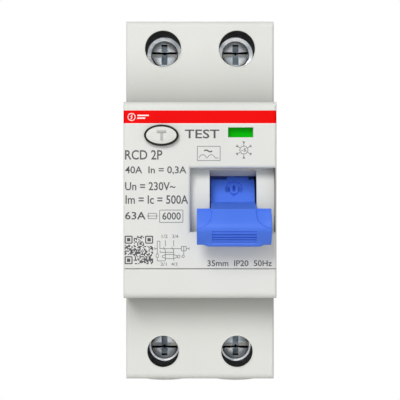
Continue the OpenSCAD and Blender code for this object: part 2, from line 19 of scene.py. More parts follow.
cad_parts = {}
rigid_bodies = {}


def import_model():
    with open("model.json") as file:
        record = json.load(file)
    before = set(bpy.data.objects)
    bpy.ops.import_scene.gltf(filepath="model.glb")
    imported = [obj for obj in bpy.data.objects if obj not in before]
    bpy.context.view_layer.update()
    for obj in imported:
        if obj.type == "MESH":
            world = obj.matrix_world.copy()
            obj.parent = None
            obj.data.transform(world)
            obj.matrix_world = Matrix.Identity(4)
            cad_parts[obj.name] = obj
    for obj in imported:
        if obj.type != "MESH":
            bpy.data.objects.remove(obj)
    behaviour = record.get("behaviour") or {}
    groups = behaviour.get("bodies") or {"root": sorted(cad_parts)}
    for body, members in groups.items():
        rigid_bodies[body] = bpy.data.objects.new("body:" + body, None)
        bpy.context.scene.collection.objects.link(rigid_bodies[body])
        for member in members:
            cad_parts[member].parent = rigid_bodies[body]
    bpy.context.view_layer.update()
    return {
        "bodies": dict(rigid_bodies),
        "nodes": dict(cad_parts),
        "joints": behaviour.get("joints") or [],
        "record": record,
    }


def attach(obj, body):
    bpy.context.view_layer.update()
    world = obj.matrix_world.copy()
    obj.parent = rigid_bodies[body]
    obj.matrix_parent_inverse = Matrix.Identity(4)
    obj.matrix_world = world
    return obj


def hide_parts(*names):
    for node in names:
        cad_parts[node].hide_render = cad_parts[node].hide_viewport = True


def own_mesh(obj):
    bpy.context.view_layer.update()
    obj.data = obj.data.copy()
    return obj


LOG = logging.getLogger("residual_current_device")
MM = 0.001
Point = tuple[float, float]
Place = tuple[float, float, float]
Colour = tuple[int, int, int]

# Places that several parts share.
NOSE = -53.5
PIVOT_DEPTH = 38.0
TERMINAL_X = 8.75
TERMINAL_Z = 35.85

# What the frame holds, filled once by main.
FRAME: dict[str, object] = {}


def cad_node(name: str) -> bpy.types.Object:
    """Gives the object of a CAD node."""
    return FRAME["nodes"][name]


# ---- Small maths ----


def linear(colour: Colour) -> tuple[float, float, float, float]:
    """Turns a display colour, 0 to 255 a channel, into the linear colour that a shader takes.

    Args:
        colour: Red, green and blue.
    Returns:
        Linear red, green, blue and an alpha of 1.
    """
    parts = [c / 255 for c in colour]
    return (*(c / 12.92 if c <= 0.04045 else ((c + 0.055) / 1.055) ** 2.4 for c in parts), 1.0)


def ease(value: float, low: float, high: float) -> float:
    """Goes smoothly from 0 at low to 1 at high.

    Args:
        value: Where to look.
        low: Start of the rise.
        high: End of the rise.
    Returns:
        A number from 0 to 1.
    """
    t = min(max((value - low) / (high - low), 0.0), 1.0)
    return t * t * (3 - 2 * t)


def softened(outline: Sequence[Point], share: float = 0.22, rounds: int = 2) -> list[Point]:
    """Cuts the corners of a closed outline, again and again, until they are round.

    Args:
        outline: The corners in order.
        share: Part of each side that a cut takes at either end.
        rounds: How many times the corners are cut.
    Returns:
        The rounder outline.
    """
    points = list(outline)
    for _ in range(rounds):
        cut: list[Point] = []
        for a, b in zip(points, points[1:] + points[:1]):
            cut.append((a[0] + share * (b[0] - a[0]), a[1] + share * (b[1] - a[1])))
            cut.append((b[0] - share * (b[0] - a[0]), b[1] - share * (b[1] - a[1])))
        points = cut
    return points


def walked(outline: Sequence[Point], step: float) -> list[Point]:
    """Adds points along a closed outline so that none of its sides is longer than a step.

    Args:
        outline: The corners in order.
        step: Longest side.
    Returns:
        The outline with the extra points.
    """
    made: list[Point] = []
    for a, b in zip(outline, [*outline[1:], outline[0]]):
        count = max(1, math.ceil(math.dist(a, b) / step))
        made += [(a[0] + (b[0] - a[0]) * k / count, a[1] + (b[1] - a[1]) * k / count) for k in range(count)]
    return made


def oval(a: float, b: float, sides: int) -> list[Point]:
    """Gives the points of an oval with the two half axes a and b."""
    turn = 2 * math.pi / sides
    return [(a * math.cos(turn * k), b * math.sin(turn * k)) for k in range(sides)]


# ---- Shaders ----


class Signal:
    """A number that varies over a surface, written in formulas like any other number."""

    def __init__(self, recipe: Recipe, socket: bpy.types.NodeSocket) -> None:
        """Wraps an output socket of a recipe's tree."""
        self.recipe = recipe
        self.socket = socket

    def _maths(self, operation: str, *others: float | Signal, clamp: bool = False) -> Signal:
        """Adds a Math node that starts with this signal."""
        inputs = dict(enumerate((self, *others)))
        return self.recipe.signal("ShaderNodeMath", {"operation": operation, "use_clamp": clamp}, inputs)

    def __add__(self, other: float | Signal) -> Signal:
        """Adds two signals."""
        return self._maths("ADD", other)

    __radd__ = __add__

    def __sub__(self, other: float | Signal) -> Signal:
        """Takes a signal or a number off this one."""
        return self._maths("SUBTRACT", other)

    def __rsub__(self, other: float) -> Signal:
        """Takes this signal off a number."""
        return self._maths("MULTIPLY_ADD", -1.0, other)

    def __mul__(self, other: float | Signal) -> Signal:
        """Multiplies two signals."""
        return self._maths("MULTIPLY", other)

    __rmul__ = __mul__

    def over(self, low: float, high: float) -> Signal:
        """Rises from 0 at low to 1 at high, and stays there."""
        return self._maths("MULTIPLY_ADD", 1 / (high - low), -low / (high - low), clamp=True)

    def size(self) -> Signal:
        """Drops the sign."""
        return self._maths("ABSOLUTE")

    def zigzag(self, step: float) -> Signal:
        """Goes up from 0 to a step and down again, over and over."""
        return self._maths("PINGPONG", step)


class NodeTree:
    """A tree that is filled one node at a time."""

    def __init__(self, tree: bpy.types.NodeTree) -> None:
        """Empties the tree and keeps it."""
        self.tree = tree
        self.tree.nodes.clear()

    def node(self, kind: str, settings: dict[str, object] | None = None,
             inputs: dict[str | int, object] | None = None) -> bpy.types.Node:
        """Makes a node.

        Args:
            kind: Blender's name of the node type.
            settings: Properties of the node, set before its sockets.
            inputs: A value, signal or socket for each input.
        Returns:
            The node.
        """
        made = self.tree.nodes.new(kind)
        for name, value in (settings or {}).items():
            setattr(made, name, value)
        self.fill(made, inputs or {})
        return made

    def fill(self, node: bpy.types.Node, inputs: dict[str | int, object]) -> None:
        """Gives inputs of a node their values, signals or sockets."""
        for key, value in inputs.items():
            socket = value.socket if isinstance(value, Signal) else value
            if isinstance(socket, bpy.types.NodeSocket):
                self.tree.links.new(socket, node.inputs[key])
            else:
                node.inputs[key].default_value = socket


class Recipe(NodeTree):
    """The node tree of one material."""

    def __init__(self, name: str) -> None:
        """Starts a material with nothing but a surface shader in it.

        Args:
            name: Name of the material.
        """
        self.material = bpy.data.materials.new(name)
        self.material.use_nodes = True
        super().__init__(self.material.node_tree)
        self.shader = self.node("ShaderNodeBsdfPrincipled")
        self.node("ShaderNodeOutputMaterial", inputs={"Surface": self.shader.outputs[0]})
        self.place = self.node("ShaderNodeTexCoord").outputs["Object"]

    def signal(self, kind: str, settings: dict[str, object] | None = None,
               inputs: dict[str | int, object] | None = None) -> Signal:
        """Makes a node and gives its first output as a signal."""
        return Signal(self, self.node(kind, settings, inputs).outputs[0])

    def axes(self) -> tuple[Signal, Signal, Signal]:
        """Gives the place on the object along X, Y and Z, in metres."""
        split = self.node("ShaderNodeSeparateXYZ", inputs={0: self.place})
        return tuple(Signal(self, split.outputs[k]) for k in range(3))

    def noise(self, scale: float, detail: float = 2.0, stretch: Sequence[float] = (1, 1, 1)) -> Signal:
        """Gives a soft random signal of about 0 to 1.

        Args:
            scale: Spots to a metre.
            detail: Finer layers on top.
            stretch: How much closer the spots lie along X, Y and Z.
        Returns:
            The signal.
        """
        mapping = self.node("ShaderNodeMapping", inputs={"Vector": self.place, "Scale": tuple(stretch)})
        return self.signal("ShaderNodeTexNoise",
                           inputs={"Vector": mapping.outputs[0], "Scale": scale, "Detail": detail})

    def blend(self, first: object, second: object, mask: Signal) -> bpy.types.NodeSocket:
        """Goes from one colour to another where the mask rises from 0 to 1.

        Args:
            first: Colour or socket where the mask is 0.
            second: Colour or socket where the mask is 1.
            mask: The signal that decides.
        Returns:
            A colour socket.
        """
        return self.node("ShaderNodeMix", {"data_type": "RGBA"}, {0: mask, 6: first, 7: second}).outputs[2]

    def finish(self, base: object, roughness: float | Signal, height: Signal | None = None,
               depth: float = 0.00001, **plain: float) -> bpy.types.Material:
        """Sets the surface shader.

        Args:
            base: Base colour, plain or a socket.
            roughness: Plain number or signal.
            height: Signal that raises the surface, if any.
            depth: How far the height goes up and down, in metres.
            **plain: Other sockets of the shader, with _ for each space.
        Returns:
            The material.
        """
        sockets: dict[str | int, object] = {"Base Color": base, "Roughness": roughness}
        sockets |= {name.replace("_", " "): value for name, value in plain.items()}
        if height is not None:
            bump = self.node("ShaderNodeBump", inputs={"Strength": 1.0, "Distance": depth, "Height": height})
            sockets["Normal"] = bump.outputs[0]
        self.fill(self.shader, sockets)
        return self.material


@dataclass(frozen=True)
class Moulded:
    """Moulded plastic with a fine grain, flow marks and a slightly uneven gloss."""

    name: str
    colour: Colour
    flow: Colour
    roughness: float = 0.42
    grain: float = 5200.0
    grain_depth: float = 0.000006
    specular: float = 0.45

    def material(self) -> bpy.types.Material:
        """Makes the material."""
        recipe = Recipe(self.name)
        return recipe.finish(self.tone(recipe), self.gloss(recipe), recipe.noise(self.grain, 3.0),
                             self.grain_depth, Specular_IOR_Level=self.specular)

    def tone(self, recipe: Recipe) -> bpy.types.NodeSocket:
        """Gives the colour with its faint flow marks."""
        mask = recipe.noise(60.0, 3.0, (1, 1, 0.4)).over(0.35, 0.75)
        return recipe.blend(linear(self.colour), linear(self.flow), mask)

    def gloss(self, recipe: Recipe) -> Signal:
        """Gives the roughness, a little lower where the mould was polished."""
        return recipe.noise(240.0, 2.0) * 0.14 + (self.roughness - 0.07)


@dataclass(frozen=True)
class BandedCover(Moulded):
    """The front cover's plastic: a printed band across the nose, and painted shade in the corners at its foot."""

    band: Colour = (240, 2, 1)
    band_bottom: float = 17.5
    band_top: float = 20.45
    band_depth: float = 52.4
    edge: float = 0.04
    # Painted shade at the foot of the nose: where it starts, how far it reaches, how far back the shoulders lie,
    # and the colour it darkens to.
    foot: float = 22.6
    foot_reach: float = 16.0
    foot_depth: float = 46.0
    foot_painted_shade: Colour = (182, 183, 178)

    def tone(self, recipe: Recipe) -> bpy.types.NodeSocket:
        """Gives the plastic's colour, darkened with painted shade towards the foot of the nose, with the band over
        it.
        """
        _, depth, height = recipe.axes()
        edge = self.edge * MM
        low, high, back = self.band_bottom * MM, self.band_top * MM, -self.band_depth * MM
        mask = height.over(low - edge, low + edge) * (1 - height.over(high - edge, high + edge))
        mask = mask * (1 - depth.over(back - edge, back + edge))
        # Painted shade: the shoulders darken near the foot of the nose, where its step shades them.
        near = 1 - height.size().over(self.foot * MM, (self.foot + self.foot_reach) * MM)
        near = near * near * depth.over(-self.foot_depth * MM, (1 - self.foot_depth) * MM)
        plain = recipe.blend(super().tone(recipe), linear(self.foot_painted_shade), near)
        return recipe.blend(plain, linear(self.band), mask)


@dataclass(frozen=True)
class FlagPlastic(Moulded):
    """The flag's plastic: one colour for off below, another for on above."""

    on_colour: Colour = (226, 8, 6)
    change: float = 17.15
    edge: float = 0.03

    def tone(self, recipe: Recipe) -> bpy.types.NodeSocket:
        """Gives the two colours with a sharp line between them."""
        height = recipe.axes()[2]
        line = height.over((self.change - self.edge) * MM, (self.change + self.edge) * MM)
        return recipe.blend(super().tone(recipe), linear(self.on_colour), line)


@dataclass(frozen=True)
class Plated:
    """Metal, bare or plated, with brushing, blotches and a tint that wanders."""

    name: str
    colour: Colour
    tint: Colour
    roughness: float = 0.3
    brushing: tuple[float, float, float] = (1.0, 1.0, 6.0)
    scratch_depth: float = 0.000004
    metallic: float = 1.0

    def material(self) -> bpy.types.Material:
        """Makes the material."""
        recipe = Recipe(self.name)
        blotches = recipe.noise(420.0, 4.0).over(0.38, 0.64)
        scratches = recipe.noise(1500.0, 5.0, self.brushing)
        colour = recipe.blend(linear(self.colour), linear(self.tint), blotches)
        roughness = scratches * 0.24 + blotches * 0.12 + (self.roughness - 0.18)
        return recipe.finish(colour, roughness, scratches, self.scratch_depth, Metallic=self.metallic)


@dataclass(frozen=True)
class Wound:
    """Enamelled wire wound close, seen as fine ribs."""

    name: str
    colour: Colour
    shade: Colour
    pitch: float = 0.3
    along: int = 1

    def material(self) -> bpy.types.Material:
        """Makes the material."""
        recipe = Recipe(self.name)
        half = self.pitch / 2 * MM
        ribs = recipe.axes()[self.along].zigzag(half).over(0.0, half)
        # Painted shade: the darker colour between the ribs stands for the shade in the grooves between turns.
        colour = recipe.blend(linear(self.shade), linear(self.colour), ribs)
        return recipe.finish(colour, recipe.noise(300.0) * 0.2 + 0.22, ribs, 0.00008, Coat_Roughness=0.15,
                             Metallic=0.6)


@dataclass(frozen=True)
class Varnished:
    """Circuit board under green varnish, with the weave and the tracks showing through."""

    name: str = "board_varnish"
    colour: Colour = (24, 92, 52)
    track: Colour = (52, 128, 70)
    track_step: float = 0.7
    track_edges: Point = (0.42, 0.46)
    thread: float = 0.2

    def material(self) -> bpy.types.Material:
        """Makes the material."""
        recipe = Recipe(self.name)
        x, _, z = recipe.axes()
        thread, (low, high) = self.thread * MM, self.track_edges
        tracks = x.zigzag(self.track_step * MM).over(low * MM, high * MM)
        tracks = tracks * recipe.noise(180.0, 0.0).over(0.49, 0.51)
        weave = x.zigzag(thread).over(0, thread) * z.zigzag(thread).over(0, thread)
        colour = recipe.blend(linear(self.colour), linear(self.track), tracks)
        return recipe.finish(colour, weave * 0.15 + 0.2, tracks + weave * 0.2, 0.00003)


@dataclass(frozen=True)
class Ink:
    """Pad-printed ink, a little thin in places."""

    name: str
    colour: Colour
    thin: Colour

    def material(self) -> bpy.types.Material:
        """Makes the material."""
        recipe = Recipe(self.name)
        worn = recipe.noise(2600.0, 3.0).over(0.45, 0.75)
        return recipe.finish(recipe.blend(linear(self.colour), linear(self.thin), worn), worn * 0.2 + 0.45)


class Finish(Enum):
    """Every finish of the device."""

    # The cover's plastic, with its printed band and painted shade at the foot of the nose.
    COVER = BandedCover("cover_plastic", (227, 228, 223), (223, 224, 219), specular=0.06)
    HOUSING = Moulded("housing_plastic", (220, 221, 216), (214, 215, 209), 0.5, 4200.0, specular=0.2)
    STRIP = Moulded("strip_plastic", (227, 228, 223), (223, 224, 219), specular=0.06)
    BUTTON = Moulded("button_plastic", (218, 219, 214), (213, 214, 208), 0.36, 6000.0, 0.000003)
    # Painted light: a warm tint on the slot's lip that offsets the blue light the toggle bounces onto it.
    LIP = Moulded("slot_lip_plastic", (232, 222, 190), (224, 214, 184), 0.6, specular=0.1)
    # Painted shade: the raised T a little darker than the cap, standing for the shade along its edges.
    LETTER = Moulded("button_letter_plastic", (184, 185, 180), (178, 179, 174), 0.4, 6000.0, 0.000003)
    FLOOR = Moulded("floor_paint", (226, 226, 224), (221, 221, 219), 0.75, 400.0, 0.00001, 0.1)
    # Painted shade: dark grey for the sheet on the bay's open side, where that wall lies in shadow.
    BAY_SIDE = Moulded("bay_side_plastic", (128, 126, 118), (112, 110, 103), 0.6)
    CLIP = Moulded("clip_plastic", (46, 47, 50), (38, 39, 42), 0.5, 3600.0)
    TOGGLE = Moulded("toggle_plastic", (83, 128, 241), (77, 121, 234), 0.4, 6400.0, 0.000003, 0.18)
    ARC = Moulded("arc_plastic", (98, 58, 40), (82, 47, 32), 0.55, 3000.0)
    DARK = Moulded("dark_plastic", (34, 35, 38), (26, 27, 30), 0.45, 3400.0)
    FLAG = FlagPlastic("flag_plastic", (0, 190, 2), (0, 176, 4), 0.5, 6000.0, 0.000002, 0.05)
    RESISTOR = Moulded("resistor_ceramic", (206, 184, 142), (186, 160, 118), 0.3, 2400.0)
    ZINC = Plated("bright_zinc", (236, 238, 240), (206, 216, 224), 0.32, (1.0, 1.0, 5.0), 0.000003, 0.55)
    # Painted shade: darkened zinc for the floor of the screws' cross, which lies in shadow.
    DULL_ZINC = Plated("recess_zinc", (134, 146, 156), (98, 112, 124), 0.4, (1.0, 1.0, 5.0), 0.000003, 0.55)
    # Painted shade: a duller, darker zinc for the floor of the screws' slot than for the head.
    WORN_ZINC = Plated("slot_zinc", (178, 176, 168), (150, 156, 160), 0.36, (1.0, 1.0, 5.0), 0.000003, 0.5)
    # Painted shadow: near-black for the shaded upper edge of the screws' slot and cross, and for the pit of the
    # cross's point.
    SOOT = Moulded("slot_shade", (14, 15, 17), (9, 10, 11), 0.7, 4200.0, specular=0.1)
    # Painted shade: near-black lining inside the screwdriver holes and round the test button, where those walls
    # lie in shadow.
    LINER = Moulded("tube_liner_plastic", (40, 40, 37), (34, 34, 31), 0.6, specular=0.2)
    STEEL = Plated("mild_steel", (176, 178, 182), (138, 142, 150), 0.38, (6.0, 1.0, 1.0))
    COPPER = Plated("bare_copper", (214, 138, 104), (188, 112, 80), 0.3, (1.0, 5.0, 1.0))
    CORE = Plated("core_strip", (120, 122, 128), (92, 95, 102), 0.42, (1.0, 1.0, 14.0))
    WIRE = Wound("enamelled_wire", (190, 96, 48), (96, 40, 18))
    COIL = Wound("relay_wire", (196, 104, 52), (92, 40, 18), 0.24)
    BRAID = Wound("copper_braid", (198, 122, 82), (120, 66, 40), 0.5, 2)
    BOARD = Varnished()
    INK = Ink("print_grey", (70, 72, 76), (92, 94, 98))
    PALE_INK = Ink("print_pale_grey", (124, 126, 129), (142, 144, 146))
    WHITE_INK = Ink("print_white", (250, 246, 244), (244, 232, 228))

    def get(self) -> bpy.types.Material:
        """Gives the finish's material, made the first time it is asked for."""
        return bpy.data.materials.get(self.value.name) or self.value.material()


# ---- Meshes ----


def add_mesh(name: str, mesh: bmesh.types.BMesh, finish: Finish) -> bpy.types.Object:
    """Makes a finished mesh, in metres, an object of the scene.

    Args:
        name: Name of the object.
        mesh: The mesh, which is used up.
        finish: Its finish.
    Returns:
        The object.
    """
    data = bpy.data.meshes.new(name)
    mesh.to_mesh(data)
    mesh.free()
    data.materials.clear()
    data.materials.append(finish.get())
    made = bpy.data.objects.new(name, data)
    bpy.context.scene.collection.objects.link(made)
    return made


def node_copy(node: str) -> bmesh.types.BMesh:
    """Copies a CAD node's loose triangles and joins them at their corners."""
    mesh = bmesh.new()
    mesh.from_mesh(cad_node(node).data)
    bmesh.ops.remove_doubles(mesh, verts=mesh.verts, dist=0.001 * MM)
    return mesh


def smoothen(data: bpy.types.Mesh, degrees: float = 35.0) -> None:
    """Blends faces where they meet at less than some degrees."""
    data.shade_smooth()
    data.set_sharp_from_angle(angle=math.radians(degrees))


class Shape:
    """A mesh under construction, in millimetres."""

    def __init__(self) -> None:
        """Starts empty."""
        self.mesh = bmesh.new()

    def ring(self, points: Sequence[Sequence[float]]) -> list[bmesh.types.BMVert]:
        """Adds a row of corners."""
        return [self.mesh.verts.new(p) for p in points]

    def bridge(self, first: list[bmesh.types.BMVert], second: list[bmesh.types.BMVert]) -> None:
        """Joins two closed rows of as many corners each by a band of faces."""
        for k in range(len(first)):
            n = (k + 1) % len(first)
            self.mesh.faces.new((first[k], first[n], second[n], second[k]))

    def lid(self, row: list[bmesh.types.BMVert]) -> None:
        """Closes a row with a fan round its middle."""
        middle = self.mesh.verts.new(sum((v.co for v in row), Vector()) / len(row))
        for k, vert in enumerate(row):
            self.mesh.faces.new((vert, row[(k + 1) % len(row)], middle))

    def stack(self, rows: Sequence[Sequence[Sequence[float]]], closed: bool = False) -> None:
        """Joins rows of corners one after another.

        Args:
            rows: The rows, each a closed loop of as many corners.
            closed: Whether the last row joins the first; if not, both get a lid.
        """
        made = [self.ring(r) for r in rows]
        for a, b in zip(made, made[1:]):
            self.bridge(a, b)
        if closed:
            self.bridge(made[-1], made[0])
        else:
            self.lid(made[0])
            self.lid(made[-1])

    def turned(self, profile: Sequence[Point], centre: Point, sides: int = 72, stretch: float = 1.0,
               closed: bool = False) -> None:
        """Turns a profile about an axis that runs front to back.

        Args:
            profile: Radius and depth of each corner.
            centre: Place of the axis across and up.
            sides: Faces round the axis.
            stretch: Height of the ring for a width of 1.
            closed: Whether the profile is a loop that does not touch the axis.
        """
        self.stack([[(centre[0] + x, y, centre[1] + z) for x, z in oval(r, r * stretch, sides)]
                    for r, y in profile], closed)

    def block(self, low: Sequence[float], high: Sequence[float]) -> None:
        """Adds a box between two opposite corners."""
        made = bmesh.ops.create_cube(self.mesh, size=1.0)["verts"]
        middle = [(a + b) / 2 for a, b in zip(low, high)]
        bmesh.ops.scale(self.mesh, vec=[b - a for a, b in zip(low, high)], verts=made)
        bmesh.ops.translate(self.mesh, vec=middle, verts=made)

    def stroke(self, a: Point, b: Point, depth: float, width: float, thick: float) -> None:
        """Adds a flat line from one point of a front face to another.

        Args:
            a: Start, across and up.
            b: End, across and up.
            depth: Where the face is, front to back.
            width: Width of the line.
            thick: How far the line stands out of the face.
        """
        along = Vector((b[0] - a[0], 0, b[1] - a[1]))
        side = Vector((-along.z, 0, along.x)).normalized() * width / 2
        ends = [Vector((p[0], depth, p[1])) for p in (a, b)]
        corners = [ends[0] - side, ends[1] - side, ends[1] + side, ends[0] + side]
        self.stack([corners, [c + Vector((0, -thick, 0)) for c in corners]])

    def chain(self, points: Sequence[Point], depth: float, width: float, thick: float,
              closed: bool = False) -> None:
        """Adds a flat line through several points, in the way of stroke."""
        ends = [*points[1:], points[0]] if closed else points[1:]
        for a, b in zip(points, ends):
            self.stroke(a, b, depth, width, thick)

    def piece(self, name: str, finish: Finish, smooth: bool = True, weld: float = 0.0005) -> bpy.types.Object:
        """Finishes the mesh as an object of the scene, in metres.

        Args:
            name: Name of the object.
            finish: Its finish.
            smooth: Whether faces blend where they meet at a small angle.
            weld: Corners closer than this become one.
        Returns:
            The object.
        """
        bmesh.ops.remove_doubles(self.mesh, verts=self.mesh.verts, dist=weld)
        bmesh.ops.recalc_face_normals(self.mesh, faces=self.mesh.faces)
        bmesh.ops.scale(self.mesh, vec=(MM, MM, MM), verts=self.mesh.verts)
        made = add_mesh(name, self.mesh, finish)
        if smooth:
            smoothen(made.data)
        return made


def settle(piece: bpy.types.Object) -> bpy.types.Object:
    """Turns an object's modifiers, text or curve into a plain mesh.

    Args:
        piece: The object.
    Returns:
        The plain object, of the same name.
    """
    bpy.context.view_layer.update()
    graph = bpy.context.evaluated_depsgraph_get()
    data = bpy.data.meshes.new_from_object(piece.evaluated_get(graph))
    name = piece.name
    collection = piece.users_collection[0]
    bpy.data.objects.remove(piece)
    data.name = name
    made = bpy.data.objects.new(name, data)
    collection.objects.link(made)
    return made


def carve(piece: bpy.types.Object, tool: bpy.types.Object) -> bpy.types.Object:
    """Takes a tool's shape out of a piece, and dresses the cut in the tool's finish.

    Args:
        piece: The closed mesh that is cut.
        tool: The closed mesh that cuts; it is removed afterwards.
    Returns:
        The piece with the cut in it.
    """
    cut = piece.modifiers.new("carve", "BOOLEAN")
    cut.operation, cut.solver, cut.object = "DIFFERENCE", "EXACT", tool
    cut.material_mode = "TRANSFER"
    made = settle(piece)
    bpy.data.objects.remove(tool)
    return made


class GeometryTree(NodeTree):
    """A geometry node tree with named inputs, run once and turned into a plain mesh."""

    def __init__(self, name: str, sizes: dict[str, float | int]) -> None:
        """Starts a tree.

        Args:
            name: Name of the tree and of its object.
            sizes: Name and value of each input.
        """
        super().__init__(bpy.data.node_groups.new(name, "GeometryNodeTree"))
        self.name = name
        self.sizes = sizes
        sockets = self.tree.interface
        sockets.new_socket("Geometry", in_out="OUTPUT", socket_type="NodeSocketGeometry")
        self.keys: dict[str, str] = {}
        for size, value in sizes.items():
            kind = "NodeSocketInt" if isinstance(value, int) else "NodeSocketFloat"
            self.keys[size] = sockets.new_socket(size, in_out="INPUT", socket_type=kind).identifier
        self.start = self.node("NodeGroupInput")

    def given(self, size: str) -> bpy.types.NodeSocket:
        """Gives the socket of a named input."""
        return self.start.outputs[size]

    def maths(self, operation: str, *values: object) -> bpy.types.NodeSocket:
        """Adds a Math node."""
        return self.node("ShaderNodeMath", {"operation": operation}, dict(enumerate(values))).outputs[0]

    def piece(self, geometry: bpy.types.NodeSocket, finish: Finish) -> bpy.types.Object:
        """Ends the tree, runs it and gives the result.

        Args:
            geometry: What the tree has made.
            finish: The finish of the result.
        Returns:
            A plain mesh object.
        """
        real = self.node("GeometryNodeRealizeInstances", inputs={0: geometry})
        dressed = self.node("GeometryNodeSetMaterial",
                            inputs={"Geometry": real.outputs[0], "Material": finish.get()})
        self.node("NodeGroupOutput", inputs={0: dressed.outputs[0]})
        holder = bpy.data.objects.new(self.name, bpy.data.meshes.new(self.name))
        bpy.context.scene.collection.objects.link(holder)
        modifier = holder.modifiers.new("nodes", "NODES")
        modifier.node_group = self.tree
        for size, value in self.sizes.items():
            modifier[self.keys[size]] = value
        return settle(holder)


def place_piece(piece: bpy.types.Object, body: str, slot: str, *replaced: str) -> None:
    """Hands a finished piece to the frame.

    Args:
        piece: The piece.
        body: The body that carries it.
        slot: Not used.
        *replaced: CAD nodes that it stands for.
    """
    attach(piece, body)
    if replaced:
        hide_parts(*replaced)
    LOG.info("%s rides on %s, %d faces", piece.name, body, len(piece.data.polygons))


# ---- Toggle ----


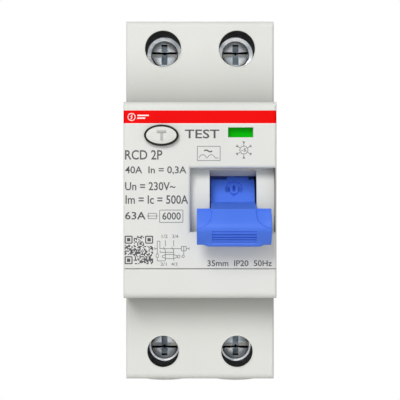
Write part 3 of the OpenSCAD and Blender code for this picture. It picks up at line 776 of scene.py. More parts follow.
@dataclass
class Toggle:
    """The toggle: handle with grip, hub and neck with the sunk zero mark."""

    node: str = "toggle"
    middle: float = 7.56
    width: float = 16.56
    lift: float = 0.2
    corner: float = 0.2
    handle: list[Point] = field(default_factory=lambda: [
        (22.8, -2.0), (23.7, -3.1), (24.8, -4.6), (25.3, -5.5), (25.45, -6.3), (25.2, -7.1), (24.2, -8.4),
        (23.2, -9.5), (22.7, -10.0), (22.1, -10.2), (21.0, -9.9), (20.3, -9.2), (20.15, -7.6), (20.3, -2.4)])
    scoop_half: float = 4.8
    scoop_flare: float = 3.48
    scoop_bend: float = 3.6
    scoop_depth: float = 0.42
    scoop_reach: float = 6.0
    scoop_rim: float = 0.22
    scoop_fade: float = 0.2
    scoop_span: Point = (-6.8, -2.2)
    facing: float = 0.3
    grip_lines: tuple[Point, ...] = (
        (-7.23, 0.3), (-7.93, 0.9), (-8.49, 1.0), (-9.04, 0.9), (-9.6, 0.3))
    grip_half: float = 4.95
    grip_line_half: float = 0.14
    chin_half: float = 5.56
    chin_slope: float = 1.4
    chin_drop: float = 0.4
    chin_span: Point = (9.5, 10.1)
    outline_cut: float = 0.15
    outline_step: float = 0.07
    columns: int = 110
    edge_columns: int = 7
    grip_step: float = 0.02
    neck_cut: float = 20.1
    flat_degrees: float = 0.5
    sharp_degrees: float = 9.0
    mark_place: Place = (8.0, 8.04, 2.68)
    mark_slope: float = 0.543
    mark_radius: float = 2.1
    mark_sink: float = 0.3
    zero_outer: Point = (0.97, 1.45)
    zero_inner: Point = (0.33, 0.84)
    zero_proud: float = 0.05
    zero_root: float = 0.1
    zero_hole: float = 0.9
    tab: Point = (6.35, 11.45)
    ledge_low: Place = (-1.0, -50.0, 4.85)
    ledge_high: Place = (16.0, -41.0, 10.0)

    def shift(self, x: float, u: float, v: float, out: Point) -> float:
        """Says how far the handle's skin moves outwards at one point.

        Args:
            x: Distance from the handle's middle.
            u: Distance in front of the pin.
            v: Height above the pin.
            out: The direction outwards, front and up.
        Returns:
            Millimetres outwards.
        """
        edge = self.width / 2 - abs(x)
        moved = 0.0
        if edge < self.corner:
            moved -= self.corner - math.sqrt(max(self.corner ** 2 - (self.corner - edge) ** 2, 0.0))
        low, high = self.scoop_span
        if out[0] > self.facing and v > low:
            fall = min(max((high - v) / (high - low), 0.0), 1.0)
            line = self.scoop_half + self.scoop_flare * fall ** self.scoop_bend
            slope = self.scoop_flare * self.scoop_bend * fall ** (self.scoop_bend - 1) / (high - low)
            away = (abs(x) - line) / math.hypot(1, slope)
            bowl = ease(away, 0.0, self.scoop_rim) * (1 - ease(away, self.scoop_fade, self.scoop_reach))
            moved -= self.scoop_depth * bowl
        if out[0] > self.facing and abs(x) < self.grip_half:
            for level, depth in self.grip_lines:
                near = abs(v - level) / self.grip_line_half
                if near < 1:
                    moved -= depth * (1 - near ** 4)
        return moved

    def across(self) -> list[float]:
        """Gives the handle's rows as distances from its middle, closer at its ends and at the grip."""
        flat = self.width / 2 - self.corner
        turn = math.pi / 2 / self.edge_columns
        inner = [-flat + 2 * flat * k / self.columns for k in range(self.columns + 1)]
        outer = [flat + self.corner * math.sin(turn * k) for k in range(1, self.edge_columns + 1)]
        grip = [edge + step for edge in (-self.grip_half, self.grip_half)
                for step in (-self.grip_step, self.grip_step)]
        return sorted([-x for x in outer] + inner + outer + grip)

    def handle_piece(self) -> bpy.types.Object:
        """Builds the handle as rows of the outline, each with its own dents."""
        outline = walked(softened(self.handle, self.outline_cut), self.outline_step)
        shape = Shape()
        rows = []
        for x in self.across():
            row = []
            for k, (u, v) in enumerate(outline):
                before, after = outline[k - 1], outline[(k + 1) % len(outline)]
                along = Vector((after[0] - before[0], after[1] - before[1])).normalized()
                out = (-along.y, along.x)
                moved = self.shift(x, u, v, out)
                drop = self.chin_drop * (1 - ease(abs(x), self.chin_half, self.chin_half + self.chin_slope))
                row.append((self.middle + x, -PIVOT_DEPTH - u - out[0] * moved,
                            v + self.lift + out[1] * moved - drop * ease(-v, *self.chin_span)))
            rows.append(row)
        shape.stack(rows)
        return shape.piece("toggle_handle", Finish.TOGGLE, weld=0.0001)

    def hub_piece(self) -> bpy.types.Object:
        """Builds the hub and neck from the CAD shape, without its handle, and sinks the mark."""
        mesh = node_copy(self.node)
        limit = (-PIVOT_DEPTH - self.neck_cut) * MM
        gone = [f for f in mesh.faces if all(v.co.y < limit for v in f.verts)]
        bmesh.ops.delete(mesh, geom=gone, context="FACES")
        bmesh.ops.holes_fill(mesh, edges=[e for e in mesh.edges if e.is_boundary], sides=0)
        bmesh.ops.dissolve_limit(mesh, angle_limit=math.radians(self.flat_degrees), verts=mesh.verts,
                                 edges=mesh.edges)
        bmesh.ops.triangulate(mesh, faces=mesh.faces)
        bmesh.ops.recalc_face_normals(mesh, faces=mesh.faces)
        hub = add_mesh("toggle_hub", mesh, Finish.TOGGLE)
        circle = Shape()
        circle.turned([(self.mark_radius, -3.0), (self.mark_radius, self.mark_sink)], (0, 0), 48)
        hub = carve(hub, self.on_flank(circle, "mark_cutter"))
        (left, front, low), (right, back, high) = self.ledge_low, self.ledge_high
        for start, end in ((left, self.tab[0]), (self.tab[1], right)):
            ledge = Shape()
            ledge.block((start, front, low), (end, back, high))
            hub = carve(hub, ledge.piece("ledge_cutter", Finish.TOGGLE, smooth=False))
        hole = Shape()
        inner = self.stadium(*self.zero_inner)
        hole.stack([[(x, y, z) for x, z in inner] for y in (-1.0, self.mark_sink + self.zero_hole)])
        hub = carve(hub, self.on_flank(hole, "zero_cutter"))
        smoothen(hub.data, self.sharp_degrees)
        weighted = hub.modifiers.new("flat", "WEIGHTED_NORMAL")
        weighted.keep_sharp, weighted.weight = True, 100
        return settle(hub)

    @staticmethod
    def stadium(half_width: float, half_height: float) -> list[Point]:
        """Gives the points of an upright slot with round ends."""
        rise = half_height - half_width
        return [(x, z + math.copysign(rise, z)) for x, z in oval(half_width, half_width, 40)]

    def on_flank(self, shape: Shape, name: str, smooth: bool = False) -> bpy.types.Object:
        """Finishes a shape and stands it on the neck's sloping upper face, where the mark is."""
        x, u, v = self.mark_place
        made = shape.piece(name, Finish.TOGGLE, smooth=smooth)
        spot = Vector((x, -PIVOT_DEPTH - u, v)) * MM
        made.data.transform(Matrix.Translation(spot) @ Matrix.Rotation(-self.mark_slope, 4, "X"))
        return made

    def mark_piece(self) -> bpy.types.Object:
        """Builds the raised zero in the sunk circle."""
        shape = Shape()
        outer, inner = self.stadium(*self.zero_outer), self.stadium(*self.zero_inner)
        top, low = -self.zero_proud, self.mark_sink + self.zero_root
        shape.stack([[(x, y, z) for x, z in ring]
                     for ring, y in ((outer, low), (outer, top), (inner, top), (inner, low))], closed=True)
        return self.on_flank(shape, "toggle_zero_mark", smooth=True)

    def build(self) -> None:
        """Builds the toggle and hands it to the frame."""
        place_piece(self.handle_piece(), "toggle", "toggle_blue", self.node)
        place_piece(self.hub_piece(), "toggle", "toggle_blue", self.node)
        place_piece(self.mark_piece(), "toggle", "toggle_blue")


# ---- Terminals ----


@dataclass
class TerminalScrew:
    """A terminal screw: washer head with a slot, a cross, a star and a threaded shank."""

    x: float
    z: float
    name: str
    front: float = -33.6
    head: tuple[Point, ...] = (
        (2.2, -24.2), (2.2, -32.0), (4.38, -32.0), (4.5, -32.14), (4.5, -32.8), (4.4, -33.0), (4.22, -33.1),
        (3.34, -32.94), (3.2, -33.05), (3.18, -33.4), (3.06, -33.55), (2.86, -33.6), (1.5, -33.64))
    slot: Place = (3.04, -0.77, 0.57)
    slot_depth: float = 0.7
    arm: Place = (0.73, -2.6, 2.42)
    arm_depth: float = 1.0
    shade: Point = (0.45, 0.32)
    shade_depth: float = 1.4
    star: Place = (1.35, -0.23, 0.23)
    star_depth: float = 0.9
    point: tuple[Point, ...] = ((0.62, -0.5), (0.52, 0.9), (0.2, 2.1))
    point_rise: float = 0.25
    sharp_degrees: float = 30.0
    thread_end: float = -24.5
    thread_turns: float = 9.0
    core_radius: float = 2.2
    thread_radius: float = 0.26
    thread_pitch: float = 0.8

    def head_piece(self) -> bpy.types.Object:
        """Turns the head and cuts its recesses."""
        shape = Shape()
        shape.turned(self.head, (self.x, self.z))
        head = shape.piece(f"{self.name}_head", Finish.ZINC)
        # Painted shade: the slot's and the cross's floors get darker zinc than the head.
        recesses = [(self.slot, self.slot_depth, 0.0, Finish.WORN_ZINC),
                    (self.arm, self.arm_depth, 0.0, Finish.DULL_ZINC)]
        recesses += [(self.star, self.star_depth, turned, Finish.ZINC) for turned in (45.0, 135.0)]
        # Painted shadow: dark strips along the top of the slot and the cross, where the upper edge shades them.
        recesses += [((half, top - shade, top), self.shade_depth, 0.0, Finish.SOOT)
                     for (half, _, top), shade in zip((self.slot, self.arm), self.shade)]
        for (half, low, high), depth, turned, finish in recesses:
            tool = Shape()
            tool.block((-half, self.front - 1, low), (half, self.front + depth, high))
            head = self.recess(head, tool, finish, turned)
        # Painted shadow: the pit at the middle of the cross.
        tool = Shape()
        tool.turned([(radius, self.front + depth) for radius, depth in self.point], (0.0, self.point_rise), 4)
        head = self.recess(head, tool, Finish.SOOT, 0.0)
        smoothen(head.data, self.sharp_degrees)
        return head

    def recess(self, head: bpy.types.Object, tool: Shape, finish: Finish, turned: float) -> bpy.types.Object:
        """Cuts one recess, drawn round the screw's axis, into the head.

        Args:
            head: The head so far.
            tool: Shape of the recess.
            finish: What the recess looks like inside.
            turned: Degrees about the axis.
        Returns:
            The head with the recess.
        """
        cutter = tool.piece("recess_cutter", finish, smooth=False)
        cutter.data.transform(self.stand(turned))
        return carve(head, cutter)

    def stand(self, turned: float) -> Matrix:
        """Gives the place of a recess that is turned by some degrees about the screw's axis."""
        half_turn = 0.0 if self.z > 0 else 180.0
        place = Matrix.Translation(Vector((self.x, 0, self.z)) * MM)
        return place @ Matrix.Rotation(math.radians(turned + half_turn), 4, "Y")

    def thread_piece(self) -> bpy.types.Object:
        """Winds the thread round the shank with a tree of geometry nodes."""
        tree = GeometryTree(f"{self.name}_thread", {
            "Turns": self.thread_turns, "Pitch": self.thread_pitch * MM, "Radius": self.core_radius * MM,
            "Wire": self.thread_radius * MM})
        height = tree.maths("MULTIPLY", tree.given("Turns"), tree.given("Pitch"))
        spiral = tree.node("GeometryNodeCurveSpiral", inputs={
            "Resolution": 24, "Rotations": tree.given("Turns"), "Start Radius": tree.given("Radius"),
            "End Radius": tree.given("Radius"), "Height": height})
        wire = tree.node("GeometryNodeCurvePrimitiveCircle", inputs={
            "Resolution": 6, "Radius": tree.given("Wire")})
        tube = tree.node("GeometryNodeCurveToMesh", inputs={
            "Curve": spiral.outputs[0], "Profile Curve": wire.outputs[0], "Fill Caps": True})
        made = tree.piece(tube.outputs[0], Finish.ZINC)
        end = Matrix.Translation(Vector((self.x, self.thread_end, self.z)) * MM)
        made.data.transform(end @ Matrix.Rotation(math.radians(90), 4, "X"))
        return made

    def build(self) -> None:
        """Builds the screw and hands it to the frame."""
        place_piece(self.head_piece(), self.name, "steel", self.name)
        place_piece(self.thread_piece(), self.name, "steel")


# ---- Springs ----


@dataclass
class PressedSpring:
    """A coil spring, copied from its CAD node and carried by the base."""

    node: str
    joint: str
    axis: Place
    seat: Place
    length: float
    travel: float

    def build(self) -> None:
        """Copies the spring's mesh and hands it to the frame."""
        spring = add_mesh(f"{self.node}_wire", node_copy(self.node), Finish.STEEL)
        spring.data.shade_smooth()
        place_piece(spring, "base", "steel", self.node)
        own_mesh(spring)


# ---- Front of the nose ----


@dataclass
class TestButton:
    """The test button's visible cap, its raised T darkened as painted shade, and the dark collar of painted shade
    round it.
    """

    x: float = -8.8
    z: float = 14.75
    half_width: float = 3.45
    half_height: float = 1.93
    cap: tuple[Point, ...] = (
        (3.45, -53.2), (3.45, -54.0), (3.41, -54.2), (3.29, -54.38), (3.05, -54.52), (2.55, -54.6),
        (1.5525, -54.67), (0.3, -54.69))
    letter: float = 2.1
    letter_bar: float = 0.4
    letter_depth: Point = (-55.05, -54.5)
    collar: tuple[Place, ...] = (
        (3.93, 2.41, -53.0), (3.93, 2.41, -54.5), (3.52, 1.99, -54.55), (3.52, 1.99, -53.0))

    def build(self) -> None:
        """Builds the cap, collar and letter and hands them to the frame."""
        cap = Shape()
        cap.turned(self.cap, (self.x, self.z), stretch=self.half_height / self.half_width)
        place_piece(cap.piece("test_button_cap", Finish.BUTTON), "test_button", "button_plastic")
        # The collar is a ring of painted shade in the gap round the cap.
        collar = Shape()
        collar.stack([[(self.x + x, y, self.z + z) for x, z in oval(wide, high, 72)]
                      for wide, high, y in self.collar], closed=True)
        place_piece(collar.piece("test_button_collar", Finish.LINER), "test_button", "dark_plastic")
        half, bar = self.letter / 2, self.letter_bar
        front, back = self.letter_depth
        # The T is darker than the cap as painted shade.
        letter = Shape()
        letter.block((self.x - half, front, self.z + half - bar), (self.x + half, back, self.z + half))
        letter.block((self.x - bar / 2, front, self.z - half), (self.x + bar / 2, back, self.z + half - bar))
        place_piece(letter.piece("test_button_letter", Finish.LETTER, smooth=False), "test_button",
                    "button_plastic")


@dataclass
class FrontRims:
    """Rims and painted-shade liners of the screwdriver holes, the lip of the toggle's slot, and a painted-shade
    sheet on the side of its bay.
    """

    shoulder: float = -44.0
    top_radius: float = 4.27
    bottom_radius: float = 3.72
    rim: tuple[Point, ...] = ((0.01, 0.4), (0.01, -0.072), (0.08, -0.12), (0.18, -0.12), (0.3, -0.02), (0.3, 0.4))
    # Profile of the painted-shade liner inside each hole.
    liner: tuple[Point, ...] = ((-0.004, 0.12), (-0.05, 0.15), (-0.05, 9.8), (-0.004, 9.8))
    bay_side: Point = (17.14, 17.25)
    bay_half: float = 7.28
    bay_front: float = -53.45
    drum_radius: float = 13.0
    drum_gap: float = 0.1
    drum_steps: int = 12
    lip_line: tuple[Point, Point] = ((10.9, 6.97), (7.25, 5.624))
    lip_thick: float = 0.6
    lip_ends: Point = (2.24, 13.06)

    def round_holes(self, name: str, finish: Finish, profile: Sequence[Point]) -> bpy.types.Object:
        """Turns one profile round each of the four screwdriver holes.

        Args:
            name: Name of the piece.
            finish: Its finish.
            profile: Corners, counted outwards from the hole's edge and back from the shoulder.
        Returns:
            The piece.
        """
        shape = Shape()
        for side in (-1, 1):
            for level, radius in ((1, self.top_radius), (-1, self.bottom_radius)):
                shape.turned([(radius + out, self.shoulder + back) for out, back in profile],
                             (side * TERMINAL_X, level * TERMINAL_Z), closed=True)
        return shape.piece(name, finish)

    def slot_lip(self) -> bpy.types.Object:
        """Builds the lip along the top of the toggle's slot; its warm tint is painted to offset the blue light
        that the toggle bounces onto it, so that it looks grey.
        """
        shape = Shape()
        low = [(-PIVOT_DEPTH - u, z) for u, z in self.lip_line]
        high = [(y, z + self.lip_thick) for y, z in reversed(low)]
        shape.stack([[(x, y, z) for y, z in low + high] for x in self.lip_ends])
        return shape.piece("slot_lip", Finish.LIP, smooth=False)

    def bay_side_piece(self) -> bpy.types.Object:
        """Builds a thin dark sheet of painted shade on the bay's open side, with the drum's curve at its back."""
        shape = Shape()
        levels = [self.bay_half * (2 * k / self.drum_steps - 1) for k in range(self.drum_steps + 1)]
        arc = [(self.drum_gap - PIVOT_DEPTH - math.sqrt(self.drum_radius ** 2 - z * z), z) for z in levels]
        outline = [(self.bay_front, self.bay_half), (self.bay_front, -self.bay_half), *arc]
        shape.stack([[(x, y, z) for y, z in outline] for x in self.bay_side])
        return shape.piece("bay_side_lining", Finish.BAY_SIDE, smooth=False)

    def build(self) -> None:
        """Builds the pieces and hands them to the frame."""
        place_piece(self.round_holes("hole_rims", Finish.STRIP, self.rim), "base", "housing")
        # The liners are painted shade on the walls of the screwdriver holes.
        place_piece(self.round_holes("hole_liners", Finish.LINER, self.liner), "base", "dark_plastic")
        place_piece(self.slot_lip(), "base", "housing")
        place_piece(self.bay_side_piece(), "base", "housing")


# ---- Print ----

# Points of a line, and whether it closes; words, and the left, right, bottom and top of their box.
Chain = tuple[Sequence[Point], bool]
Legend = tuple[str, float, float, float, float]


def open_line(*points: Point) -> Chain:
    """Gives the chain of a line with two ends."""
    return points, False


def ring(x: float, z: float, a: float, b: float, sides: int = 20) -> Chain:
    """Gives the closed chain of an oval."""
    return [(x + p, z + q) for p, q in oval(a, b, sides)], True


def box(left: float, right: float, low: float, high: float) -> Chain:
    """Gives the closed chain of a rectangle."""
    return [(left, low), (right, low), (right, high), (left, high)], True


def polar(centre: Point, reach: float, turn: float) -> Point:
    """Gives the point at a distance and an angle from a centre."""
    return centre[0] + reach * math.cos(turn), centre[1] + reach * math.sin(turn)


@dataclass
class Snowflake:
    """The mark for cold: six arms with twigs round a six-sided ring."""

    centre: Point = (10.0, 11.4)
    ring_radius: float = 0.98
    arm: Point = (0.95, 2.0)
    twig_start: float = 1.5
    twig: float = 0.55
    lean: float = 0.5

    def chains(self) -> list[Chain]:
        """Gives the mark's lines."""
        made: list[Chain] = []
        for k in range(6):
            turn = math.radians(30 + 60 * k)
            made.append(open_line(*(polar(self.centre, reach, turn) for reach in self.arm)))
            root = polar(self.centre, self.twig_start, turn)
            made += [open_line(root, polar(root, self.twig, turn + lean)) for lean in (-self.lean, self.lean)]
        return [*made, ring(*self.centre, self.ring_radius, self.ring_radius, 6)]


@dataclass
class WaveMark:
    """The mark for the kinds of current: one small wave over two humps, in a frame."""

    frame: tuple[float, float, float, float] = (-0.6, 4.6, 9.0, 12.25)
    wave_start: Point = (0.95, 11.2)
    wave_size: Point = (1.8, 0.2)
    hump_starts: Point = (-0.25, 1.7)
    hump_size: Point = (1.75, 0.75)
    hump_level: float = 9.6
    hump_end: float = 4.2
    hump_bend: float = 0.7

    def wave(self) -> Chain:
        """Gives the small wave."""
        (x, z), (wide, tall) = self.wave_start, self.wave_size
        return open_line(*((x + wide * k / 24, z + tall * math.sin(2 * math.pi * k / 24)) for k in range(25)))

    def humps(self) -> Chain:
        """Gives the two humps and the flat line after them."""
        wide, tall = self.hump_size
        points = [(x + wide * k / 12, self.hump_level + tall * math.sin(math.pi * k / 12) ** self.hump_bend)
                  for x in self.hump_starts for k in range(13)]
        return open_line(*points, (self.hump_end, self.hump_level))


@dataclass
class Diagram:
    """The wiring diagram: two poles, the transformer's oval, the test branch and the relay."""

    poles: Point = (-7.9, -6.0)
    top: float = -9.2
    low: float = -13.85
    hinge: float = -11.5
    contact: Point = (-0.45, -10.75)
    tip: float = -10.55
    lines: tuple[tuple[Point, ...], ...] = (
        ((-10.3, -11.1), (-9.7, -11.1)), ((-10.3, -10.8), (-10.3, -11.4)),
        ((-9.75, -9.4), (-9.15, -9.4), (-9.15, -11.1), (-4.2, -11.1)), ((-9.75, -9.4), (-9.75, -12.2)),
        ((-9.75, -13.2), (-9.75, -13.9), (-7.9, -13.9)), ((-9.1, -11.5), (-9.1, -11.95), (-6.0, -11.95)),
        ((-3.7, -10.6), (-3.7, -12.55)), ((-3.15, -11.1), (-2.55, -11.1)), ((-2.5, -10.8), (-2.5, -11.4)))
    rings: tuple[tuple[float, ...], ...] = (
        (-9.75, -12.7, 0.27, 0.5), (-6.9, -12.9, 1.75, 0.48, 28), (-4.85, -12.9, 0.3, 0.35),
        (-3.85, -12.85, 0.28, 0.28))
    relay: tuple[float, float, float, float] = (-4.25, -3.15, -11.6, -10.6)

    def chains(self) -> list[Chain]:
        """Gives the diagram's lines."""
        made: list[Chain] = []
        for x in self.poles:
            reach, level = self.contact
            made += [open_line((x, self.top), (x, self.tip)), open_line((x + reach, level), (x, self.hinge)),
                     open_line((x, self.hinge), (x, self.low))]
        made += [open_line(*points) for points in self.lines] + [ring(*sizes) for sizes in self.rings]
        return [*made, box(*self.relay)]


@dataclass
class Markings:
    """Everything printed on the nose, all of it generic."""

    thick: float = 0.02
    root: float = -53.495
    weight: float = 0.012
    pen: float = 0.15
    frame_pen: float = 0.12
    wave_pen: float = 0.3
    ratings: tuple[Legend, ...] = (
        ("RCD 2P", -17.1, -8.6, 9.2, 11.4), ("40A  In = 0,3A", -17.1, -3.1, 5.8, 7.7),
        ("Un = 230V~", -17.1, -5.6, 2.2, 4.1), ("Im = Ic = 500A", -17.0, -2.7, -0.9, 1.1),
        ("63A", -17.1, -12.4, -4.45, -2.7), ("6000", -8.6, -4.4, -4.5, -2.8),
        ("TEST", -3.45, 4.4, 14.05, 16.1), ("35mm  IP20  50Hz", 1.7, 16.4, -15.1, -13.75))
    numbers: tuple[Legend, ...] = (
        ("1/2", -8.75, -7.4, -8.7, -7.9), ("3/4", -6.35, -4.95, -8.7, -7.9),
        ("2/1", -9.0, -7.6, -15.0, -14.25), ("4/3", -6.55, -5.15, -15.0, -14.25))
    cold: Legend = ("-5", 9.45, 10.55, 11.05, 11.75)
    capacity: tuple[float, float, float, float] = (-9.2, -3.9, -5.1, -2.3)
    fuse: tuple[float, float, float, float] = (-11.8, -9.9, -4.25, -3.05)
    fuse_line: tuple[Point, Point] = ((-12.15, -3.65), (-9.6, -3.65))

    def legend(self, text: str, left: float, right: float, low: float, high: float) -> bpy.types.Object:
        """Sets a line of text into a box on the nose.

        Args:
            text: The words.
            left: Left end of the box.
            right: Right end of the box.
            low: Bottom of the box.
            high: Top of the box.
        Returns:
            The text as a mesh.
        """
        curve = bpy.data.curves.new("legend", "FONT")
        curve.body, curve.size, curve.extrude = text, 1.0, 0.5
        curve.resolution_u = 3
        curve.offset = self.weight
        holder = bpy.data.objects.new("legend", curve)
        bpy.context.scene.collection.objects.link(holder)
        made = settle(holder)
        corners = [v.co for v in made.data.vertices]
        x0, x1 = min(c.x for c in corners), max(c.x for c in corners)
        y0, y1 = min(c.y for c in corners), max(c.y for c in corners)
        wide, tall = (right - left) / (x1 - x0), (high - low) / (y1 - y0)
        fit = Matrix(((wide, 0, 0, left - x0 * wide), (0, 0, -self.thick, NOSE - self.thick / 2),
                      (0, tall, 0, low - y0 * tall), (0, 0, 0, 1)))
        made.data.transform(Matrix.Scale(MM, 4) @ fit)
        return made

    def words(self, name: str, legends: Sequence[Legend], finish: Finish) -> None:
        """Prints several legends as one piece.

        Args:
            name: Name of the piece.
            legends: The words and their boxes.
            finish: Finish of the whole.
        """
        mesh = bmesh.new()
        for part in [self.legend(*row) for row in legends]:
            mesh.from_mesh(part.data)
            bpy.data.objects.remove(part)
        bmesh.ops.recalc_face_normals(mesh, faces=mesh.faces)
        for face in mesh.faces:
            face.material_index = 0
        place_piece(add_mesh(name, mesh, finish), "base", "dark_plastic")

    def lines(self, name: str, chains: Sequence[Chain], width: float, finish: Finish) -> None:
        """Prints chains of lines as one piece.

        Args:
            name: Name of the piece.
            chains: Points of each chain, and whether it closes.
            width: Width of the lines.
            finish: Finish of the whole.
        """
        shape = Shape()
        for points, closed in chains:
            shape.chain(points, self.root, width, self.thick, closed)
        place_piece(shape.piece(name, finish, smooth=False, weld=0.0001), "base", "dark_plastic")

    def symbols(self) -> None:
        """Prints the frames, the fuse, the wave and the mark for cold."""
        mark = WaveMark()
        self.lines("wave_mark", [mark.wave()], self.wave_pen, Finish.INK)
        self.lines("capacity_frame", [box(*self.capacity)], self.frame_pen, Finish.INK)
        pale = [box(*self.fuse), open_line(*self.fuse_line), box(*mark.frame), mark.humps(), *Snowflake().chains()]
        self.lines("pale_marks", pale, self.pen, Finish.PALE_INK)
        self.words("cold_number", [self.cold], Finish.INK)

    def build(self) -> None:
        """Prints everything."""
        self.words("rating_text", self.ratings, Finish.INK)
        self.symbols()
        BandBadge(self.root, self.thick).build()
        self.lines("wiring_diagram", Diagram().chains(), self.pen, Finish.PALE_INK)
        self.words("terminal_numbers", self.numbers, Finish.PALE_INK)
        MatrixPattern(self.root, self.thick).build()


@dataclass
class BandBadge:
    """A plain bolt in a ring, two bars, and the line along the band's lower edge."""

    root: float
    thick: float
    circle: tuple[float, float, float, float, int] = (-15.62, 18.95, 0.82, 0.82, 28)
    circle_pen: float = 0.16
    bolt: tuple[Point, ...] = ((-15.45, 19.5), (-15.85, 18.92), (-15.42, 18.98), (-15.8, 18.38))
    bolt_pen: float = 0.17
    bars: tuple[tuple[Point, Point], ...] = (((-14.3, 19.3), (-11.7, 19.3)), ((-14.3, 18.68), (-12.5, 18.68)))
    bar_pen: float = 0.3
    edge: tuple[Point, Point] = ((-17.3, 17.38), (17.3, 17.38))
    edge_pen: float = 0.16

    def build(self) -> None:
        """Prints the badge and the line."""
        badge = Shape()
        points, closed = ring(*self.circle)
        badge.chain(points, self.root, self.circle_pen, self.thick, closed)
        badge.chain(self.bolt, self.root, self.bolt_pen, self.thick)
        for bar in self.bars:
            badge.stroke(*bar, self.root, self.bar_pen, self.thick)
        place_piece(badge.piece("band_badge", Finish.WHITE_INK, smooth=False), "base", "housing")
        line = Shape()
        line.stroke(*self.edge, self.root, self.edge_pen, self.thick)
        place_piece(line.piece("band_edge_line", Finish.WHITE_INK, smooth=False), "base", "housing")


@dataclass
class MatrixPattern:
    """A random matrix of small squares with three corner marks. It holds no data."""

    root: float
    thick: float
    left: float = -17.2
    low: float = -14.65
    side: float = 6.5
    cells: int = 25
    corner: int = 7
    clear: float = 7.6
    share: float = 0.5
    seed: int = 11

    def squares(self) -> bpy.types.Object:
        """Makes the random squares with a tree of geometry nodes."""
        cell = self.side / self.cells
        tree = GeometryTree("matrix_pattern", {
            "Cells": self.cells, "Side": (self.side - cell) * MM, "Cell": cell * MM, "Thickness": self.thick * MM,
            "Corner": self.clear * cell * MM, "Seed": self.seed})
        grid = tree.node("GeometryNodeMeshGrid", inputs={
            "Size X": tree.given("Side"), "Size Y": tree.given("Side"), "Vertices X": tree.given("Cells"),
            "Vertices Y": tree.given("Cells")})
        place = tree.node("ShaderNodeSeparateXYZ", inputs={0: tree.node("GeometryNodeInputPosition").outputs[0]})
        limit = tree.maths("SUBTRACT", tree.maths("MULTIPLY", tree.given("Side"), 0.5), tree.given("Corner"))
        wide, tall = (tree.maths("GREATER_THAN", tree.maths("ABSOLUTE", place.outputs[k]), limit) for k in (0, 1))
        plain = tree.maths("MULTIPLY", tree.maths("GREATER_THAN", place.outputs[0], 0.0),
                           tree.maths("LESS_THAN", place.outputs[1], 0.0))
        finder = tree.maths("MULTIPLY", tree.maths("MULTIPLY", wide, tall), tree.maths("SUBTRACT", 1.0, plain))
        chance = tree.node("FunctionNodeRandomValue", {"data_type": "FLOAT"}, {"Seed": tree.given("Seed")})
        inked = tree.maths("GREATER_THAN", next(o for o in chance.outputs if o.enabled), self.share)
        chosen = tree.maths("MULTIPLY", inked, tree.maths("SUBTRACT", 1.0, finder))
        size = tree.node("ShaderNodeCombineXYZ", inputs={
            0: tree.given("Cell"), 1: tree.given("Cell"), 2: tree.given("Thickness")})
        dot = tree.node("GeometryNodeMeshCube", inputs={"Size": size.outputs[0]})
        dots = tree.node("GeometryNodeInstanceOnPoints", inputs={
            "Points": grid.outputs[0], "Selection": chosen, "Instance": dot.outputs[0]})
        made = tree.piece(dots.outputs[0], Finish.INK)
        half = self.side / 2
        middle = Vector((self.left + half, self.root - self.thick / 2, self.low + half)) * MM
        made.data.transform(Matrix.Translation(middle) @ Matrix.Rotation(math.radians(90), 4, "X"))
        return made

    def corner_marks(self) -> bpy.types.Object:
        """Draws the three corner marks: a square frame round a square."""
        cell = self.side / self.cells
        far = self.side - self.corner * cell
        shape = Shape()
        for x, z in ((self.left, self.low), (self.left, self.low + far), (self.left + far, self.low + far)):
            near, end = cell / 2, (self.corner - 0.5) * cell
            frame, closed = box(x + near, x + end, z + near, z + end)
            shape.chain(frame, self.root, cell, self.thick, closed)
            start, end = 2 * cell, (self.corner - 2) * cell
            shape.block((x + start, self.root - self.thick, z + start), (x + end, self.root, z + end))
        return shape.piece("matrix_finders", Finish.INK, smooth=False, weld=0.0001)

    def build(self) -> None:
        """Prints the matrix."""
        place_piece(self.squares(), "base", "dark_plastic")
        place_piece(self.corner_marks(), "base", "dark_plastic")


# ---- The CAD nodes that stay ----


@dataclass
class Interior:
    """Finishes of the CAD nodes whose shapes are kept."""

    finishes: dict[Finish, tuple[str, ...]] = field(default_factory=lambda: {
        Finish.COVER: ("front_cover",),
        Finish.HOUSING: ("base_housing",),
        Finish.STRIP: ("marker_strip",),
        Finish.CLIP: ("rail_clip",),
        Finish.STEEL: ("assembly_screws", "toggle_pin", "toggle_spring", "mechanism_frame",
                       "link_rod", "carrier_shaft", "contact_springs", "relay_magnet", "relay_plunger",
                       "trip_lever_pin"),
        Finish.ARC: ("contact_carrier", "pole_barrier", "trip_lever"),
        Finish.COPPER: ("contact_arm_left", "contact_arm_right", "line_bar_left", "line_bar_right",
                        "load_bar_left", "load_bar_right", "test_contact_blade"),
        Finish.ZINC: ("cage_top_left", "cage_top_right", "cage_bottom_left", "cage_bottom_right"),
        Finish.BRAID: ("flexible_lead_left", "flexible_lead_right"),
        Finish.CORE: ("transformer_core",),
        Finish.WIRE: ("secondary_winding",),
        Finish.COIL: ("relay_coil",),
        Finish.DARK: ("transformer_case", "relay_case", "board_components"),
        Finish.BOARD: ("circuit_board",),
        Finish.BUTTON: ("test_button",),
        Finish.FLAG: ("position_flag",),
        Finish.RESISTOR: ("test_resistor",),
    })

    def build(self) -> None:
        """Dresses every kept node."""
        for finish, names in self.finishes.items():
            for name in names:
                slots = cad_node(name).data.materials
                slots.clear()
                slots.append(finish.get())
                LOG.info("%s keeps its shape and wears %s", name, finish.value.name)


# ---- Studio ----


class Lamp(Enum):
    """The soft square lamps: degrees round and above the device, distance, side and watts."""

    MAIN = (-16.0, 30.0, 0.9, 0.36, 3.85)
    FRONT = (0.0, 1.0, 0.9, 0.72, 1.65)
    BACK = (168.0, 22.0, 0.9, 0.6, 2.8)


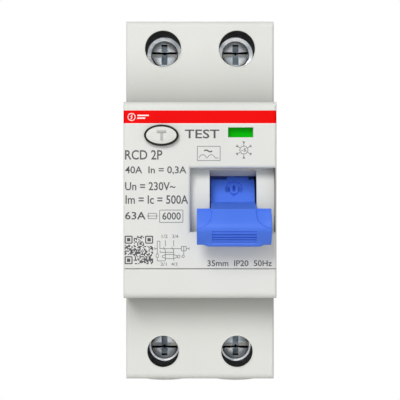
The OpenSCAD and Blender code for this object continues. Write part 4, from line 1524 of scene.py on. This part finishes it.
@dataclass
class Studio:
    """Camera, surround, lamps and floor."""

    distance: float = 303.5
    lens: float = 98.6
    sensor: float = 36.0
    nearest: float = 10.0
    floor: float = -150.0
    floor_size: float = 900.0
    floor_thick: float = 2.0
    glow: tuple[float, float, float] = (0.22, 0.42, 0.26)

    def surround(self) -> bpy.types.World:
        """Makes the white surround: plain to look at, and lighting the device more from above than below."""
        world = bpy.data.worlds.new("studio")
        world.use_nodes = True
        sky = NodeTree(world.node_tree)
        place = sky.node("ShaderNodeTexCoord").outputs["Generated"]
        height = sky.node("ShaderNodeSeparateXYZ", inputs={0: place}).outputs[2]
        share = sky.node("ShaderNodeMapRange", inputs={"Value": height, "From Min": -1.0, "From Max": 1.0})
        ramp = sky.node("ShaderNodeValToRGB", inputs={0: share.outputs[0]})
        elements = ramp.color_ramp.elements
        elements.new(0.5)
        for element, spot, glow in zip(elements, (0.0, 0.5, 1.0), self.glow):
            element.position, element.color = spot, (glow, glow, glow, 1)
        around = sky.node("ShaderNodeBackground", inputs={"Color": ramp.outputs[0]})
        seen = sky.node("ShaderNodeBackground", inputs={"Color": (1, 1, 1, 1)})
        path = sky.node("ShaderNodeLightPath")
        mix = sky.node("ShaderNodeMixShader", inputs={
            0: path.outputs["Is Camera Ray"], 1: around.outputs[0], 2: seen.outputs[0]})
        sky.node("ShaderNodeOutputWorld", inputs={0: mix.outputs[0]})
        return world

    def build(self) -> None:
        """Sets up the studio."""
        scene = bpy.context.scene
        scene.view_settings.view_transform = "Standard"
        camera = bpy.data.objects.new("camera", bpy.data.cameras.new("camera"))
        camera.location = (0, -self.distance * MM, 0)
        camera.rotation_euler = (math.radians(90), 0, 0)
        camera.data.lens, camera.data.sensor_width = self.lens, self.sensor
        camera.data.clip_start = self.nearest * MM
        scene.collection.objects.link(camera)
        scene.camera = camera
        for lamp in Lamp:
            self.light(lamp)
        scene.world = self.surround()
        shape = Shape()
        half = self.floor_size / 2
        shape.block((-half, -half, self.floor - self.floor_thick), (half, half, self.floor))
        shape.piece("floor", Finish.FLOOR, smooth=False)

    @staticmethod
    def light(lamp: Lamp) -> None:
        """Hangs one of the studio's lamps, turned towards the device."""
        around, above, distance, size, power = lamp.value
        a, e = math.radians(around), math.radians(above)
        place = Vector((math.sin(a) * math.cos(e), -math.cos(a) * math.cos(e), math.sin(e))) * distance
        data = bpy.data.lights.new(lamp.name.lower(), "AREA")
        data.shape, data.size, data.energy = "SQUARE", size, power
        holder = bpy.data.objects.new(lamp.name.lower(), data)
        holder.location = place
        holder.rotation_euler = (-place).to_track_quat("-Z", "Y").to_euler()
        bpy.context.scene.collection.objects.link(holder)


def main() -> None:
    """Builds the device's looks in order."""
    logging.basicConfig(level=logging.INFO, format="%(name)s: %(message)s")
    FRAME.update(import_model())
    Interior().build()
    FrontRims().build()
    TestButton().build()
    Toggle().build()
    for level, z in (("top", TERMINAL_Z), ("bottom", -TERMINAL_Z)):
        for side, x in (("left", -TERMINAL_X), ("right", TERMINAL_X)):
            TerminalScrew(x, z, f"screw_{level}_{side}").build()
    PressedSpring("test_button_spring", "test_press", axis=(0, 1, 0), seat=(-8.8, -46.8, 14.75),
                  length=4.15, travel=1.25).build()
    PressedSpring("rail_clip_spring", "clip_slide", axis=(0, 0, 1), seat=(0, 2.7, -36),
                  length=14.0, travel=4.05).build()
    Markings().build()
    Studio().build()


if __name__ == "__main__":
    main()
